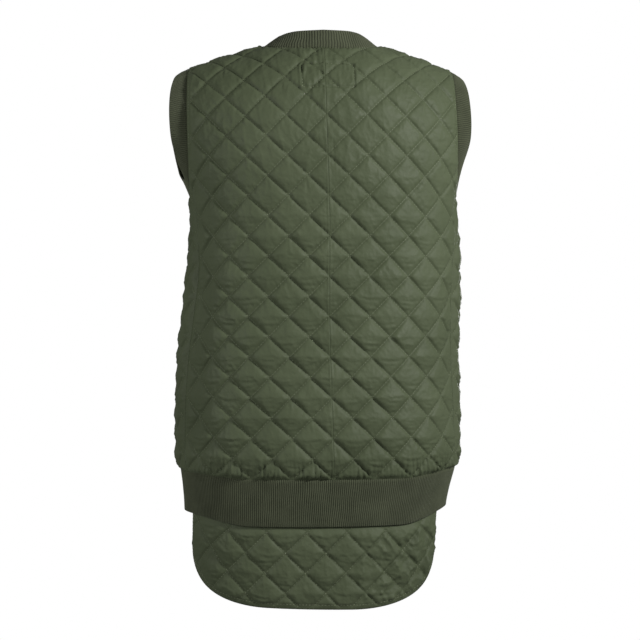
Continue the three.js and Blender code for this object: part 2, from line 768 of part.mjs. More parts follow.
// The tail flap: straight at the top and sides, with two rounded lower corners.
function tailFlap() {
  const top = HEM - SEAM;
  const lowered = (x, rise) => {
    const y = TAIL_BOTTOM + rise;
    const slant = TAIL_TILT * x + TAIL_BOW * (x / TAIL_HALF) ** 2;
    return new THREE.Vector2(x, y + (slant * (top - y)) / (top - TAIL_BOTTOM));
  };
  const half = (side, { wide, high }) => {
    const flat = range(12).slice(0, -1).map((k) => lowered(side * k * (TAIL_HALF - wide), 0));
    const corner = range(24).map((k) => {
      const angle = (k * Math.PI) / 2;
      return lowered(side * (TAIL_HALF - wide * (1 - Math.sin(angle))), high * (1 - Math.cos(angle)));
    });
    const edge = [...flat, ...corner, new THREE.Vector2(side * TAIL_HALF, top)];
    return resample(edge, STEP).map((p) => new THREE.Vector2(TAIL_MIDDLE + p.x, p.y));
  };
  const across = hemEdge(TAIL_MIDDLE - TAIL_HALF, TAIL_MIDDLE + TAIL_HALF, top).slice(1, -1).reverse();
  const ring = [...half(1, TAIL_CORNER.left), ...across, ...half(-1, TAIL_CORNER.right).slice(1).reverse()];
  const gap = (t) => THREE.MathUtils.mapLinear(smooth(top - t, 0, STEP), 0, 1, TAIL_GAP.top, TAIL_GAP.below);
  const place = (s, t, lift) => wornPoint(s - TAIL_SHIFT, t, lift - WALL - gap(t));
  const pressed = (p) => smooth(WAIST_BOTTOM - p.y, 0, STEP);
  return quiltedPanel("tail", ring, place, TAIL_CROSSING, pressed);
}

const placketRows = (top) => [WAIST_BOTTOM, ...rowHeights(HEM, top - SEAM)];

// A plain strip over the opening, from the neckline to the foot of the waistband.
function placket(rows) {
  const place = frontCloth(1);
  const low = WALL + PLACKET_GAP;
  const positions = rows.flatMap((t) => [
    place(-PLACKET_HALF, t, low),
    place(PLACKET_HALF, t, low),
    place(PLACKET_HALF, t, low + PLACKET_WALL),
    place(-PLACKET_HALF, t, low + PLACKET_WALL),
  ]);
  const triangles = [[0, 1, 2], [0, 2, 3]];
  for (let j = 0; j < rows.length - 1; j++) {
    for (let k = 0; k < 4; k++) {
      const a = 4 * j + k;
      const b = 4 * j + ((k + 1) % 4);
      triangles.push([a, a + 4, b], [b, a + 4, b + 4]);
    }
  }
  const last = 4 * (rows.length - 1);
  triangles.push([last, last + 2, last + 1], [last, last + 3, last + 2]);
  return solid("placket", FABRIC, positions, triangles);
}

// A press stud's cap, flat against the placket between two of its rows.
function stud(index, rows) {
  const first = rows.at(-1) - STUD_INSET;
  const last = (HEM + WAIST_BOTTOM) / 2;
  const t = first + ((last - first) * index) / (STUD_COUNT - 1);
  const above = rows.findIndex((row) => row > t);
  const [low, high] = [rows[above - 1], rows[above]];
  const onTop = (s, row) => frontCloth(1)(s, row, WALL + PLACKET_GAP + PLACKET_WALL);
  const up = onTop(0, high).sub(onTop(0, low));
  const across = onTop(PLACKET_HALF, low).sub(onTop(-PLACKET_HALF, low));
  const outward = across.cross(up).normalize();
  const foot = onTop(0, low).addScaledVector(up, (t - low) / (high - low)).addScaledVector(outward, SEAM);
  const profile = [[0, 0], [STUD_RADIUS, 0], [STUD_CROWN, STUD_HEIGHT], [0, STUD_HEIGHT]];
  const geometry = new THREE.LatheGeometry(profile.map(([x, y]) => new THREE.Vector2(x, y)), STUD_SIDES);
  const mesh = new THREE.Mesh(geometry, METAL);
  mesh.name = `stud_${index + 1}`;
  mesh.position.copy(foot);
  mesh.quaternion.setFromUnitVectors(new THREE.Vector3(0, 1, 0), outward);
  return mesh;
}

const panels = {
  back_left: { outline: backOutline(1), place: backCloth(1), pressed: () => 1 },
  back_right: { outline: backOutline(-1), place: backCloth(-1), pressed: () => 1 },
  front_left: { outline: frontOutline(1), place: frontCloth(1), pressed: besidePlacket },
  front_right: { outline: frontOutline(-1), place: frontCloth(-1), pressed: besidePlacket },
};
const closureRows = placketRows(panels.front_left.outline.centre[0].y);

const vest = new THREE.Group();
vest.name = "thermal_vest";
for (const [name, panel] of Object.entries(panels)) {
  vest.add(quiltedPanel(name, ringOf(panel.outline), panel.place, CROSSING, panel.pressed));
}
vest.add(armholeBand("armhole_rib_left", 1, panels.back_left, panels.front_left));
vest.add(armholeBand("armhole_rib_right", -1, panels.back_right, panels.front_right));
vest.add(neckBand(panels), waistBand(), tailFlap(), placket(closureRows));
for (let i = 0; i < STUD_COUNT; i++) vest.add(stud(i, closureRows));

export default vest;
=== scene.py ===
# The looks of the quilted thermal vest: padded cloth, knitted bands, stitching, studs, light and camera.
# The form and the cut repeat the named values of the part's source. Cloth is worked out in millimetres.
import math

import bpy
import numpy as np
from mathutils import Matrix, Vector
from mathutils.geometry import delaunay_2d_cdt


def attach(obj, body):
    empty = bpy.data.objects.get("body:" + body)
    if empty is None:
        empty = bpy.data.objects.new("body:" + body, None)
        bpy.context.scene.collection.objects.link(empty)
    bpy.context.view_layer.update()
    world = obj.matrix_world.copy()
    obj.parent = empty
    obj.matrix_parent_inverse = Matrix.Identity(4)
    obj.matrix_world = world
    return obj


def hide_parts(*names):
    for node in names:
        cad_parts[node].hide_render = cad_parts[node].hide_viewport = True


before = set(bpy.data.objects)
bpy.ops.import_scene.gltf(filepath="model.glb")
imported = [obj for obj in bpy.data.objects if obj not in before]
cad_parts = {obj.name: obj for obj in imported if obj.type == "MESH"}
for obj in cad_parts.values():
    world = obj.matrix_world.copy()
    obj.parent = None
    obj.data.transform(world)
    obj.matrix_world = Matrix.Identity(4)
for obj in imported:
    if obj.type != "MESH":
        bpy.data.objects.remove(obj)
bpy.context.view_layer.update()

MM = 0.001


def table(names, *rows):
    return {name: np.array(column, float) for name, column in zip(names.split(), zip(*rows))}


# Cut and form, as in the part's source
QUILT = 58.4
CROSSING = -235
WALL = 2.0
SEAM = 0.02  # the cloth meets at its seams
ROUNDNESS = 2.3
HEM = -645
NECK_HALF_WIDTH = 84
NECK_DROP = {"back": 14, "front": 76}
NECK_CURVE = {"back": 2.4, "front": 1.9}
ARMHOLE_X = 200
RIDGE_SLOPE = 0.326
RIDGE_ROUND = 60
SIDE_SEAM_BACK = {"top": 38, "low": 52}
SIDE_LIFT = {"left": 13, "right": 20, "from": 110, "to": 200}
LIFT_START = HEM + 60
FOLD_FADE = {"low": 60, "high": 90}
PLACKET_HALF = QUILT / 4
OPENING_X = QUILT / 8
PLACKET_GAP = 0.4
PLACKET_WALL = 1.6
STUD_INSET = 24
STUD_COUNT = 6
BAND_WALL = 2.0
WAIST_RIB = 3.05
ARM_RIB = 3.2
NECK_RIB = 4.3
WAIST_BOTTOM = -712
TAIL_BOTTOM = -832.5
TAIL_HALF = 206
TAIL_CORNER = {"left": (138, 68), "right": (148, 74)}
TAIL_TILT = 0.025
TAIL_BOW = 2
TAIL_SHIFT = 9
TAIL_MIDDLE = 17
TAIL_CROSSING = -751
TAIL_GAP = {"top": 0.7, "below": 1.7}

SECTIONS = table(
    "z half back front",
    (-834, 191, 121, 115),
    (-712, 196, 124, 118),
    (-645, 205.5, 129, 123),
    (-628, 208.5, 132, 126),
    (-600, 210, 134, 128),
    (-540, 210.5, 131, 127),
    (-470, 208, 127, 125),
    (-400, 205, 123, 124),
    (-320, 201, 121, 124),
    (-270, 198, 122, 125),
    (-235, 198.5, 123, 126),
    (-205, 206, 124, 126),
    (-170, 213, 124, 124),
    (-120, 219, 122, 120),
    (-60, 221, 118, 114),
    (20, 222, 112, 106),
)
SHOULDER = {
    "back": {"drop": 130, "inner": 2, "outer": 0.5},
    "front": {"drop": 200, "inner": 1.25, "outer": 0.55},
}
FOLDS = (
    {"at": 196, "low": -625, "high": -265, "deep": 6, "wide": 26},
    {"at": -206, "low": -610, "high": -300, "deep": 5, "wide": 22},
    {"at": 352, "low": -600, "high": -260, "deep": 5, "wide": 24},
    {"at": -356, "low": -615, "high": -290, "deep": 5, "wide": 26},
)
SHOULDER_DIP = table(
    "x down",
    (-190, 4.5),
    (-150, 3),
    (-110, 2.5),
    (-60, 0.5),
    (0, 0.5),
    (60, 2),
    (90, 3.5),
    (120, 4.8),
    (145, 3.6),
    (165, 3.8),
    (190, 4.5),
)
SEAM_LEAN = table(
    "z right",
    (-645, 13),
    (-580, 12),
    (-480, 8.5),
    (-430, 4.8),
    (-380, 1),
    (-320, -1.3),
    (-280, -2),
    (-240, -0.4),
    (-200, 0),
)
SWAY = table(
    "z left",
    (-834, 9),
    (-760, 9),
    (-712, 7),
    (-645, 3),
    (-580, 3),
    (-480, 2.5),
    (-430, 0),
    (-380, -3.5),
    (-320, -6),
    (-280, -7),
    (-240, -4.5),
    (-100, 0),
    (0, 0),
)
ARM_BAND = table(
    "turn left right up in",
    (0, 16, 14, -10, 0),
    (50, 25, 21.5, -4, 3),
    (95, 25, 21, 0, 6),
    (130, 17, 9.5, 8, 8),
    (155, 9, 2.5, 16, 6),
    (180, 4, 0, 23, 0),
)
NECK_BAND = table(
    "turn in up",
    (0, 7, 27.5),
    (30, 11, 26),
    (45, 15, 23),
    (60, 19, 18),
    (90, 25, 11),
    (130, 18, 16),
    (180, 12, 24),
)

# Fineness of the meshes
LATTICE = 12  # quads along one side of a quilted square, before subdivision
INNER_LATTICE = 6
EDGE_ROOM = 0.8  # lattice nodes keep this many steps away from a panel's edge
LINE_CREASE = 0.8  # how sharp subdivision keeps a quilting line
RING_STEP = 3.4
QUARTER_STEPS = 300
PROFILE_STEPS = 120
GRID = 2.0
AROUND = np.arange(-640, 641, GRID)
HEIGHT = np.arange(-860, 101, GRID)


def smooth(x, low, high):
    share = np.clip((x - low) / (high - low), 0, 1)
    return share * share * (3 - 2 * share)


def look_up(rows, key, at, column):
    """A column of a table at a key, on a smooth curve through its rows."""
    keys, values = rows[key], rows[column]
    x = np.clip(at, keys[0], keys[-1])
    i = np.clip(np.searchsorted(keys, x) - 1, 0, len(keys) - 2)
    ends = np.arange(len(keys))
    before = np.maximum(ends - 1, 0)
    after = np.minimum(ends + 1, len(keys) - 1)
    slopes = (values[after] - values[before]) / (keys[after] - keys[before])
    width = keys[i + 1] - keys[i]
    u = (x - keys[i]) / width
    v = 1 - u
    through = values[i] * v * v * (1 + 2 * u) + values[i + 1] * u * u * (1 + 2 * v)
    return through + width * u * v * (slopes[i] * v - slopes[i + 1] * u)


# The form that the worn vest takes


def quarter(height, side):
    """One quarter of a level section: x, y and the distance along it from the centre line."""
    half = look_up(SECTIONS, "z", height, "half")
    depth = look_up(SECTIONS, "z", height, side)
    angle = np.linspace(0, np.pi / 2, QUARTER_STEPS + 1)
    x = half * np.sin(angle) ** (2 / ROUNDNESS)
    y = depth * np.clip(np.cos(angle), 0, 1) ** (2 / ROUNDNESS)
    far = np.concatenate([[0], np.cumsum(np.hypot(np.diff(x), np.diff(y)))])
    return x, y, far


def ridge(x):
    """Height of the shoulder seam at a distance from the middle."""
    return RIDGE_SLOPE * (np.hypot(NECK_HALF_WIDTH, RIDGE_ROUND) - np.hypot(x, RIDGE_ROUND))


def depth_share(fall, side):
    """Share of the section's depth that the cloth has reached at a fall below the ridge."""
    shape = SHOULDER[side]
    q = np.clip(fall / shape["drop"], 0, 1)
    return (1 - (1 - q) ** shape["inner"]) ** shape["outer"]


def shoulder_profile(depth, side):
    """Falls below the ridge, and for each depth the length of cloth from the ridge to each fall."""
    falls = SHOULDER[side]["drop"] * np.linspace(0, 1, PROFILE_STEPS + 1) ** 2
    y = np.atleast_1d(depth)[:, None] * depth_share(falls, side)
    chords = np.hypot(np.diff(falls), np.diff(y, axis=1))
    lengths = np.concatenate([np.zeros((len(y), 1)), np.cumsum(chords, axis=1)], axis=1)
    return falls, lengths


def fall_at(lengths, falls, left):
    """The fall at a length of cloth from the ridge, one row of lengths for each value."""
    i = np.clip((lengths < left[:, None]).sum(axis=1), 1, len(falls) - 1)
    rows = np.arange(len(left))
    start, end = lengths[rows, i - 1], lengths[rows, i]
    share = np.clip((left - start) / (end - start), 0, 1)
    return falls[i - 1] + share * (falls[i] - falls[i - 1])


def cloth_height(z, x, depth, side):
    full = ridge(x) - SHOULDER[side]["drop"]
    if z <= full:
        return z
    falls, lengths = shoulder_profile(depth, side)
    return full + lengths[0, -1] - np.interp(max(ridge(x) - z, 0), falls, lengths[0])


def cloth_place(x, z, side):
    """Where a point at x and height z lies in the cloth: distance from the centre line, and height."""
    t = z
    for _ in range(5):
        xs, ys, far = quarter(t, side)
        t = cloth_height(z, x, np.interp(x, xs, ys), side)
    return np.interp(x, xs, far), t


def form_row(t):
    """The form's points at one cloth height, and half the distance round it."""
    back, front = quarter(t, "back"), quarter(t, "front")
    back_length = back[2][-1]
    total = back_length + front[2][-1]
    far = np.abs(AROUND)
    behind = far <= back_length
    row = np.zeros((len(AROUND), 3))
    for side, points, where in (("back", back, behind), ("front", front, ~behind)):
        at = far[where] if side == "back" else np.abs(total - far[where])
        x, y = np.interp(at, points[2], points[0]), np.interp(at, points[2], points[1])
        z = np.full(len(x), float(t))
        outward = np.ones(len(x))
        above = t > ridge(x) - SHOULDER[side]["drop"]
        if above.any():
            falls, lengths = shoulder_profile(y[above], side)
            left = lengths[:, -1] - (t - (ridge(x[above]) - SHOULDER[side]["drop"]))
            z[above] = ridge(x[above]) - fall_at(lengths, falls, np.abs(left))
            outward[above] = np.where(left < 0, -1, 1)
        y = y * depth_share(ridge(x) - z, side) * outward
        crossed = np.where(far[where] > total, -1, 1)
        hand = np.where(AROUND[where] < 0, -1, 1)
        row[where] = np.column_stack([hand * crossed * x, y if side == "back" else -y, z])
    return row, total, back_length


def unit(vectors):
    return vectors / np.maximum(np.linalg.norm(vectors, axis=-1, keepdims=True), 1e-9)


def drape(points, normals):
    """The folds and the sway of the hanging cloth, over the whole table of the form."""
    z = points[..., 2].copy()
    made = points.copy()
    for fold in FOLDS:
        beside = (AROUND - fold["at"]) / fold["wide"]
        above = smooth(z, fold["low"], fold["low"] + FOLD_FADE["low"])
        below = 1 - smooth(z, fold["high"] - FOLD_FADE["high"], fold["high"])
        made -= normals * (fold["deep"] * above * below * np.exp(-beside * beside))[..., None]
    made[..., 0] += look_up(SWAY, "z", z, "left")
    made[..., 2] -= look_up(SHOULDER_DIP, "x", made[..., 0], "down") * smooth(z, CROSSING, 0)
    lift = np.where(AROUND > 0, SIDE_LIFT["left"], SIDE_LIFT["right"])
    low = smooth(-z, -LIFT_START, -WAIST_BOTTOM) * (1 - smooth(-z, -WAIST_BOTTOM, -TAIL_BOTTOM))
    made[..., 2] += lift * low * smooth(np.abs(made[..., 0]), SIDE_LIFT["from"], SIDE_LIFT["to"])
    return made


def form_table():
    """Worn points and outward directions over AROUND and HEIGHT, and the distances round."""
    rows = [form_row(t) for t in HEIGHT]
    points = np.array([row for row, _, _ in rows])
    upwards, across = np.gradient(points, axis=0), np.gradient(points, axis=1)
    normals = unit(np.cross(upwards, across))
    totals = np.array([total for _, total, _ in rows])
    backs = np.array([back for _, _, back in rows])
    return np.concatenate([drape(points, normals), normals], axis=-1), totals, backs


FORM, HALF_ROUNDS, BACK_LENGTHS = form_table()


def half_round(t):
    return np.interp(t, HEIGHT, HALF_ROUNDS)


def back_length(t):
    return np.interp(t, HEIGHT, BACK_LENGTHS)


def worn(around, t, lift):
    """Points of the worn vest, lifted off the inner face of the cloth."""
    column = np.clip((around - AROUND[0]) / GRID, 0, len(AROUND) - 1.001)
    row = np.clip((t - HEIGHT[0]) / GRID, 0, len(HEIGHT) - 1.001)
    i, j = column.astype(int), row.astype(int)
    u, v = (column - i)[:, None], (row - j)[:, None]
    low = FORM[j, i] * (1 - u) + FORM[j, i + 1] * u
    high = FORM[j + 1, i] * (1 - u) + FORM[j + 1, i + 1] * u
    both = low * (1 - v) + high * v
    return both[:, :3] + unit(both[:, 3:]) * np.reshape(lift, (-1, 1))


def lean(t):
    return look_up(SEAM_LEAN, "z", t, "right")


def back_cloth(hand):
    return lambda s, t, lift: worn(hand * s - lean(t), t, lift)


def front_cloth(hand):
    return lambda s, t, lift: worn(hand * (half_round(t) - s), t, lift)


def tail_cloth(s, t, lift):
    gap = TAIL_GAP["top"] + (TAIL_GAP["below"] - TAIL_GAP["top"]) * smooth(HEM - SEAM - t, 0, QUILT / 4)
    return worn(s - TAIL_SHIFT, t, lift - WALL - gap)


# The cut: each panel's outline in cloth coordinates, anticlockwise, as named edges


def span(points):
    """Distance along a line to each of its points."""
    return np.concatenate([[0], np.cumsum(np.linalg.norm(np.diff(points, axis=0), axis=1))])


def resample(points, spacing=RING_STEP):
    far = span(points)
    at = np.linspace(0, far[-1], max(1, round(far[-1] / spacing)) + 1)
    return np.column_stack([np.interp(at, far, column) for column in points.T])


def straight(start, end):
    return resample(np.array([start, end], float))


def column(edge_at, low, high):
    t = np.linspace(low, high, max(1, round((high - low) / RING_STEP)) + 1)
    return np.column_stack([edge_at(t) + 0 * t, t])


def neck_edge(side, start):
    angle = np.linspace(0, np.pi / 2, 81)
    x = NECK_HALF_WIDTH * np.sin(angle)
    z = -NECK_DROP[side] * np.clip(np.cos(angle), 0, 1) ** (2 / NECK_CURVE[side])
    places = np.array([cloth_place(a, min(b, ridge(a)), side) for a, b in zip(x, z)])
    return places[places[:, 0] >= start]


def armhole_edge(side):
    heights = np.arange(CROSSING, -100, 0.25)
    bottom = heights[np.argmax(look_up(SECTIONS, "z", heights, "half") >= ARMHOLE_X)]
    z = bottom + (ridge(ARMHOLE_X) - bottom) * (1 - np.linspace(0, 1, 161)) ** 2
    return np.array([cloth_place(ARMHOLE_X, height, side) for height in z])


def side_seam_back(t):
    further = SIDE_SEAM_BACK["low"] - SIDE_SEAM_BACK["top"]
    return SIDE_SEAM_BACK["top"] + further * smooth(CROSSING - t, 0, 2 * QUILT)


def shoulder_edge(side):
    x = np.linspace(NECK_HALF_WIDTH, ARMHOLE_X, round((ARMHOLE_X - NECK_HALF_WIDTH) / RING_STEP) + 1)
    return np.array([cloth_place(at, ridge(at), side) for at in x]) - (0, SEAM / 2)


def back_outline(hand):
    def shift(points):
        return points + np.column_stack([hand * lean(points[:, 1]), 0 * points[:, 1]])

    def edge_at(t):
        return back_length(t) - side_seam_back(t) + hand * lean(t) - SEAM / 2

    arm = shift(armhole_edge("back"))
    side = np.argmax(arm[:, 0] > edge_at(arm[:, 1]))
    armhole = resample(np.vstack([arm[:side], [edge_at(arm[side, 1]), arm[side, 1]]]))
    neck = shift(neck_edge("back", 0))
    neck[0, 0] = SEAM / 2
    return {
        "hem": straight((SEAM / 2, HEM), (edge_at(HEM), HEM)),
        "side": column(edge_at, HEM, armhole[-1, 1]),
        "armhole": armhole[::-1],
        "shoulder": shift(shoulder_edge("back"))[::-1],
        "neck": resample(neck)[::-1],
        "centre": column(lambda t: SEAM / 2, HEM, neck[0, 1])[::-1],
    }


def front_outline(hand):
    inner = hand * OPENING_X + SEAM / 2

    def edge_at(t):
        return half_round(t) - back_length(t) + side_seam_back(t) - SEAM / 2

    behind = armhole_edge("back")
    behind = np.column_stack([half_round(behind[:, 1]) - behind[:, 0], behind[:, 1]])[::-1]
    behind = behind[behind[:, 0] < edge_at(behind[:, 1]) - 1]
    meeting = back_outline(1)["armhole"][0, 1]
    last = [edge_at(meeting), meeting]
    armhole = resample(np.vstack([armhole_edge("front"), behind[1:], last]))
    neck = neck_edge("front", max(inner, 0))
    if inner < 0:
        neck = np.vstack([[inner, neck[0, 1]], neck])
    neck[0, 0] = inner
    return {
        "hem": straight((inner, HEM), (edge_at(HEM), HEM)),
        "side": column(edge_at, HEM, meeting),
        "armhole": armhole[::-1],
        "shoulder": shoulder_edge("front")[::-1],
        "neck": resample(neck)[::-1],
        "centre": column(lambda t: inner, HEM, neck[0, 1])[::-1],
    }


def tail_outline():
    top = HEM - SEAM
    angle = np.linspace(0, np.pi / 2, 33)

    def lower_corner(side, hand):
        wide, high = TAIL_CORNER[side]
        return np.column_stack([hand * (TAIL_HALF - wide * (1 - np.sin(angle))), high * (1 - np.cos(angle))])

    right_corner, left_corner = lower_corner("right", -1)[::-1], lower_corner("left", 1)
    flat = np.linspace(right_corner[-1], left_corner[0], 40)[1:-1]
    x, rise = np.vstack([right_corner, flat, left_corner]).T
    y = TAIL_BOTTOM + rise
    y += (TAIL_TILT * x + TAIL_BOW * (x / TAIL_HALF) ** 2) * (top - y) / (top - TAIL_BOTTOM)
    left, right = TAIL_MIDDLE + TAIL_HALF, TAIL_MIDDLE - TAIL_HALF
    foot = resample(np.vstack([(right, top), np.column_stack([TAIL_MIDDLE + x, y]), (left, top)]))
    return {"turned": foot, "hem": straight((left, top), (right, top))}


def ring_of(outline):
    return np.vstack([edge[:-1] for edge in outline.values()])


def inside_ring(ring, points):
    """Whether each point lies within the ring."""
    inside = np.zeros(len(points), bool)
    for a, b in zip(ring, np.roll(ring, -1, axis=0)):
        if a[1] == b[1]:
            continue
        between = (a[1] > points[:, 1]) != (b[1] > points[:, 1])
        crossing = (b[0] - a[0]) * (points[:, 1] - a[1]) / (b[1] - a[1]) + a[0]
        inside ^= between & (points[:, 0] < crossing)
    return inside


def line_distance(lines, points):
    """Distance from each point to the nearest of some polylines."""
    best = np.full(len(points), 1e9)
    for line in lines:
        for a, b in zip(line[:-1], line[1:]):
            along = b - a
            share = np.clip((points - a) @ along / max(along @ along, 1e-12), 0, 1)
            away = points - a - share[:, None] * along
            best = np.minimum(best, np.hypot(away[:, 0], away[:, 1]))
    return best


# Uneven creases and folds, as heights over the cloth


def hashed(i, j, seed):
    """A settled number from 0 to 1 for each pair of whole numbers."""
    n = (i * 374761393 + j * 668265263 + seed * 2147483647) & 0xFFFFFFFF
    n = ((n ^ (n >> 13)) * 1274126177) & 0xFFFFFFFF
    return ((n ^ (n >> 16)) & 0xFFFF) / 65535.0


def noise(x, y, seed):
    """Smooth noise, about -1 to 1, with forms about one unit across."""
    i, j = np.floor(x).astype(np.int64), np.floor(y).astype(np.int64)
    u, v = x - i, y - j
    fade_u, fade_v = smooth(u, 0, 1), smooth(v, 0, 1)
    total = np.zeros(np.shape(u))
    for di, share_u in ((0, 1 - fade_u), (1, fade_u)):
        for dj, share_v in ((0, 1 - fade_v), (1, fade_v)):
            turn = 2 * np.pi * hashed(i + di, j + dj, seed)
            total += share_u * share_v * (np.cos(turn) * (u - di) + np.sin(turn) * (v - dj))
    return 1.5 * total


def crease(value, sharp=5.0):
    """1 on the zero line of a noise and soon 0 beside it: a thin wandering ridge."""
    return np.exp(-sharp * np.abs(value))


def bell(x):
    """A round hump: 1 at 0, and nearly 0 from 2 on."""
    return np.exp(-x * x)


PUFF = 2.0  # how far the padding stands out between its lines
INNER_PUFF = 1.2  # the same on the inner face
UPPER_PUFF = 1.5  # what the padding of the upper body has on top of it
TROUGH = 2.2  # reach of the steep sides of a quilting line
CROWN = 0.1  # share of the padding that swells towards the middle of a square
CORNER = 29  # from the middle of a square to its corner
SEAM_CELLS = 307  # seed of the squares that the centre seam cuts, so that both halves agree

# The level fold across a square: its height, and how far its level, slope and line wander
CREST = {"high": 4.7, "level": 3.5, "tilt": 0.10, "wave": 1.3, "wave_long": 8, "round": 0.7}
# The groove under it, and the share of squares without one
GROOVE = {"below": 2.4, "wide": 1.7, "long": 14, "aside": 8, "deep": 0.8, "missing": 0.25}
# Puckers off a quilting line: how far they reach, how far apart they are, and how much they slant
PUCKER = {"reach": 3.2, "apart": 4.2, "patch": 24, "slant": 0.25, "slant_patch": 30}
# Sagging folds in a square, from the first one down
SAG = {"first": -3.5, "apart": 6.5, "level": 5, "tilt": 0.35, "aside": 9, "bow": 0.012, "missing": 0.18}
SAG_FOLD = {"wide": 2.0, "long": 15, "shorter": 2.5, "under": 3.0, "under_wide": 1.5, "under_deep": 0.85}
# Upright creases that fan down from a square's top corner
FAN = {"aside": 7, "spread": 0.5, "level": 13, "higher": 7, "long": 8, "missing": 0.35}
FAN_FOLD = {"wide": 1.5, "beside": 2.9, "deep": 0.45}


def padding(s, t, crossing):
    """0 on a quilting line, and soon nearly 1 beside it."""
    u, v = (s + t - crossing) / QUILT, (s - t + crossing) / QUILT
    sides = [1 - np.exp(-np.abs(w - np.round(w)) * QUILT / math.sqrt(2) / TROUGH) for w in (u, v)]
    crown = np.abs(np.sin(np.pi * u) * np.sin(np.pi * v))
    return sides[0] * sides[1] * (1 - CROWN + CROWN * crown)


def quilt_cells(s, t, crossing):
    """Each point's square, and its place in it from the middle: across and up, in millimetres."""
    u = (s + t - crossing) / QUILT
    v = (s - t + crossing) / QUILT
    i, j = np.floor(u), np.floor(v)
    cu, cv = u - i - 0.5, v - j - 0.5
    return i.astype(np.int64), j.astype(np.int64), (cu + cv) * QUILT / 2, (cu - cv) * QUILT / 2


def spread(width, drawn):
    """A drawn number from 0 to 1, spread evenly on both sides of 0."""
    return width * (drawn - 0.5)


def crests(s, t, crossing, seed):
    """A level fold across the middle of each square, where the upper half overhangs the lower one."""
    i, j, across, up = quilt_cells(s, t, crossing)
    seed = np.where(i + j == -1, SEAM_CELLS, seed)
    level, tilt, strong, aside, kept = (hashed(i, j, seed + k) for k in range(5))
    wavy = CREST["wave"] * noise(across / CREST["wave_long"] + 3.1 * i, 2.3 * j + 0 * up, seed + 5)
    high = up - spread(CREST["level"], level) - spread(CREST["tilt"], tilt) * across - wavy
    tent = 1 - np.sqrt(high * high + CREST["round"]) / CORNER
    groove = bell((high + GROOVE["below"]) / GROOVE["wide"])
    groove *= bell((across - spread(GROOVE["aside"], aside)) / GROOVE["long"]) * (kept > GROOVE["missing"])
    return (0.6 + 0.6 * strong) * (CREST["high"] * tent - GROOVE["deep"] * groove)


def line_puckers(s, t, crossing, seed):
    """Short creases that run off each quilting line."""
    total = np.zeros(len(s))
    rising, falling = s + t - crossing, s - t + crossing
    for turn, along, line in ((1, falling, rising), (2, rising, falling)):
        number = np.round(line / QUILT)
        away = np.abs(line / QUILT - number) * QUILT / math.sqrt(2)
        place = along / math.sqrt(2)
        reach = away / PUCKER["reach"]
        slant = PUCKER["slant"] * away * noise(place / PUCKER["slant_patch"], number * 7.3, seed + turn)
        wave = noise((place + slant) / PUCKER["apart"], number * 3.7 + 0.13 * away, seed + 10 * turn)
        strength = 0.55 + 0.45 * noise(place / PUCKER["patch"], number * 5.1, seed + 20 * turn)
        total += wave * strength * reach * np.exp(1 - reach)
    return total


def sag_folds(s, t, crossing, seed):
    """Small level folds in the lower half of each padded square, where its filling has settled."""
    i, j, across, up = quilt_cells(s, t, crossing)
    total = np.zeros(len(s))
    for k in range(3):
        chance, lower, tilt, aside, bow = (hashed(i, j, seed + 5 * k + draw) for draw in range(5))
        beside = across - spread(SAG["aside"], aside)
        level = SAG["first"] - SAG["apart"] * k + spread(SAG["level"], lower)
        high = up - level - spread(SAG["tilt"], tilt) * across - SAG["bow"] * (0.4 + bow) * beside**2
        under = bell((high + SAG_FOLD["under"]) / SAG_FOLD["under_wide"])
        fold = bell(high / SAG_FOLD["wide"]) - SAG_FOLD["under_deep"] * under
        long = SAG_FOLD["long"] - SAG_FOLD["shorter"] * k
        total += (0.35 + 0.9 * chance) * fold * bell(beside / long) * (chance > SAG["missing"])
    return total


def short_creases(s, t, crossing, seed):
    """Short upright creases that fan down from the top corner of each padded square."""
    i, j, across, up = quilt_cells(s, t, crossing)
    total = np.zeros(len(s))
    for k in range(2):
        chance, aside, slope, higher = (hashed(i, j, seed + 7 * k + draw) for draw in range(4))
        beside = across - spread(FAN["aside"], aside) - spread(FAN["spread"], slope) * (CORNER - up)
        fold = bell(beside / FAN_FOLD["wide"])
        fold -= FAN_FOLD["deep"] * bell((beside - FAN_FOLD["beside"]) / FAN_FOLD["wide"])
        along = up - (FAN["level"] + spread(FAN["higher"], higher))
        total += (0.2 + 0.8 * chance) * fold * bell(along / FAN["long"]) * (chance > FAN["missing"])
    return total


def crumple(s, t, seed, size):
    """Faceted creases in every direction."""
    bend = 3 * noise(s / (2.2 * size), t / (2.2 * size), seed + 3)
    first = noise((s + bend) / size, t / (1.2 * size), seed)
    second = noise(s / (0.6 * size), (t + bend) / (0.5 * size), seed + 1)
    return crease(first) + 0.5 * crease(second) - 0.35


# Meshes


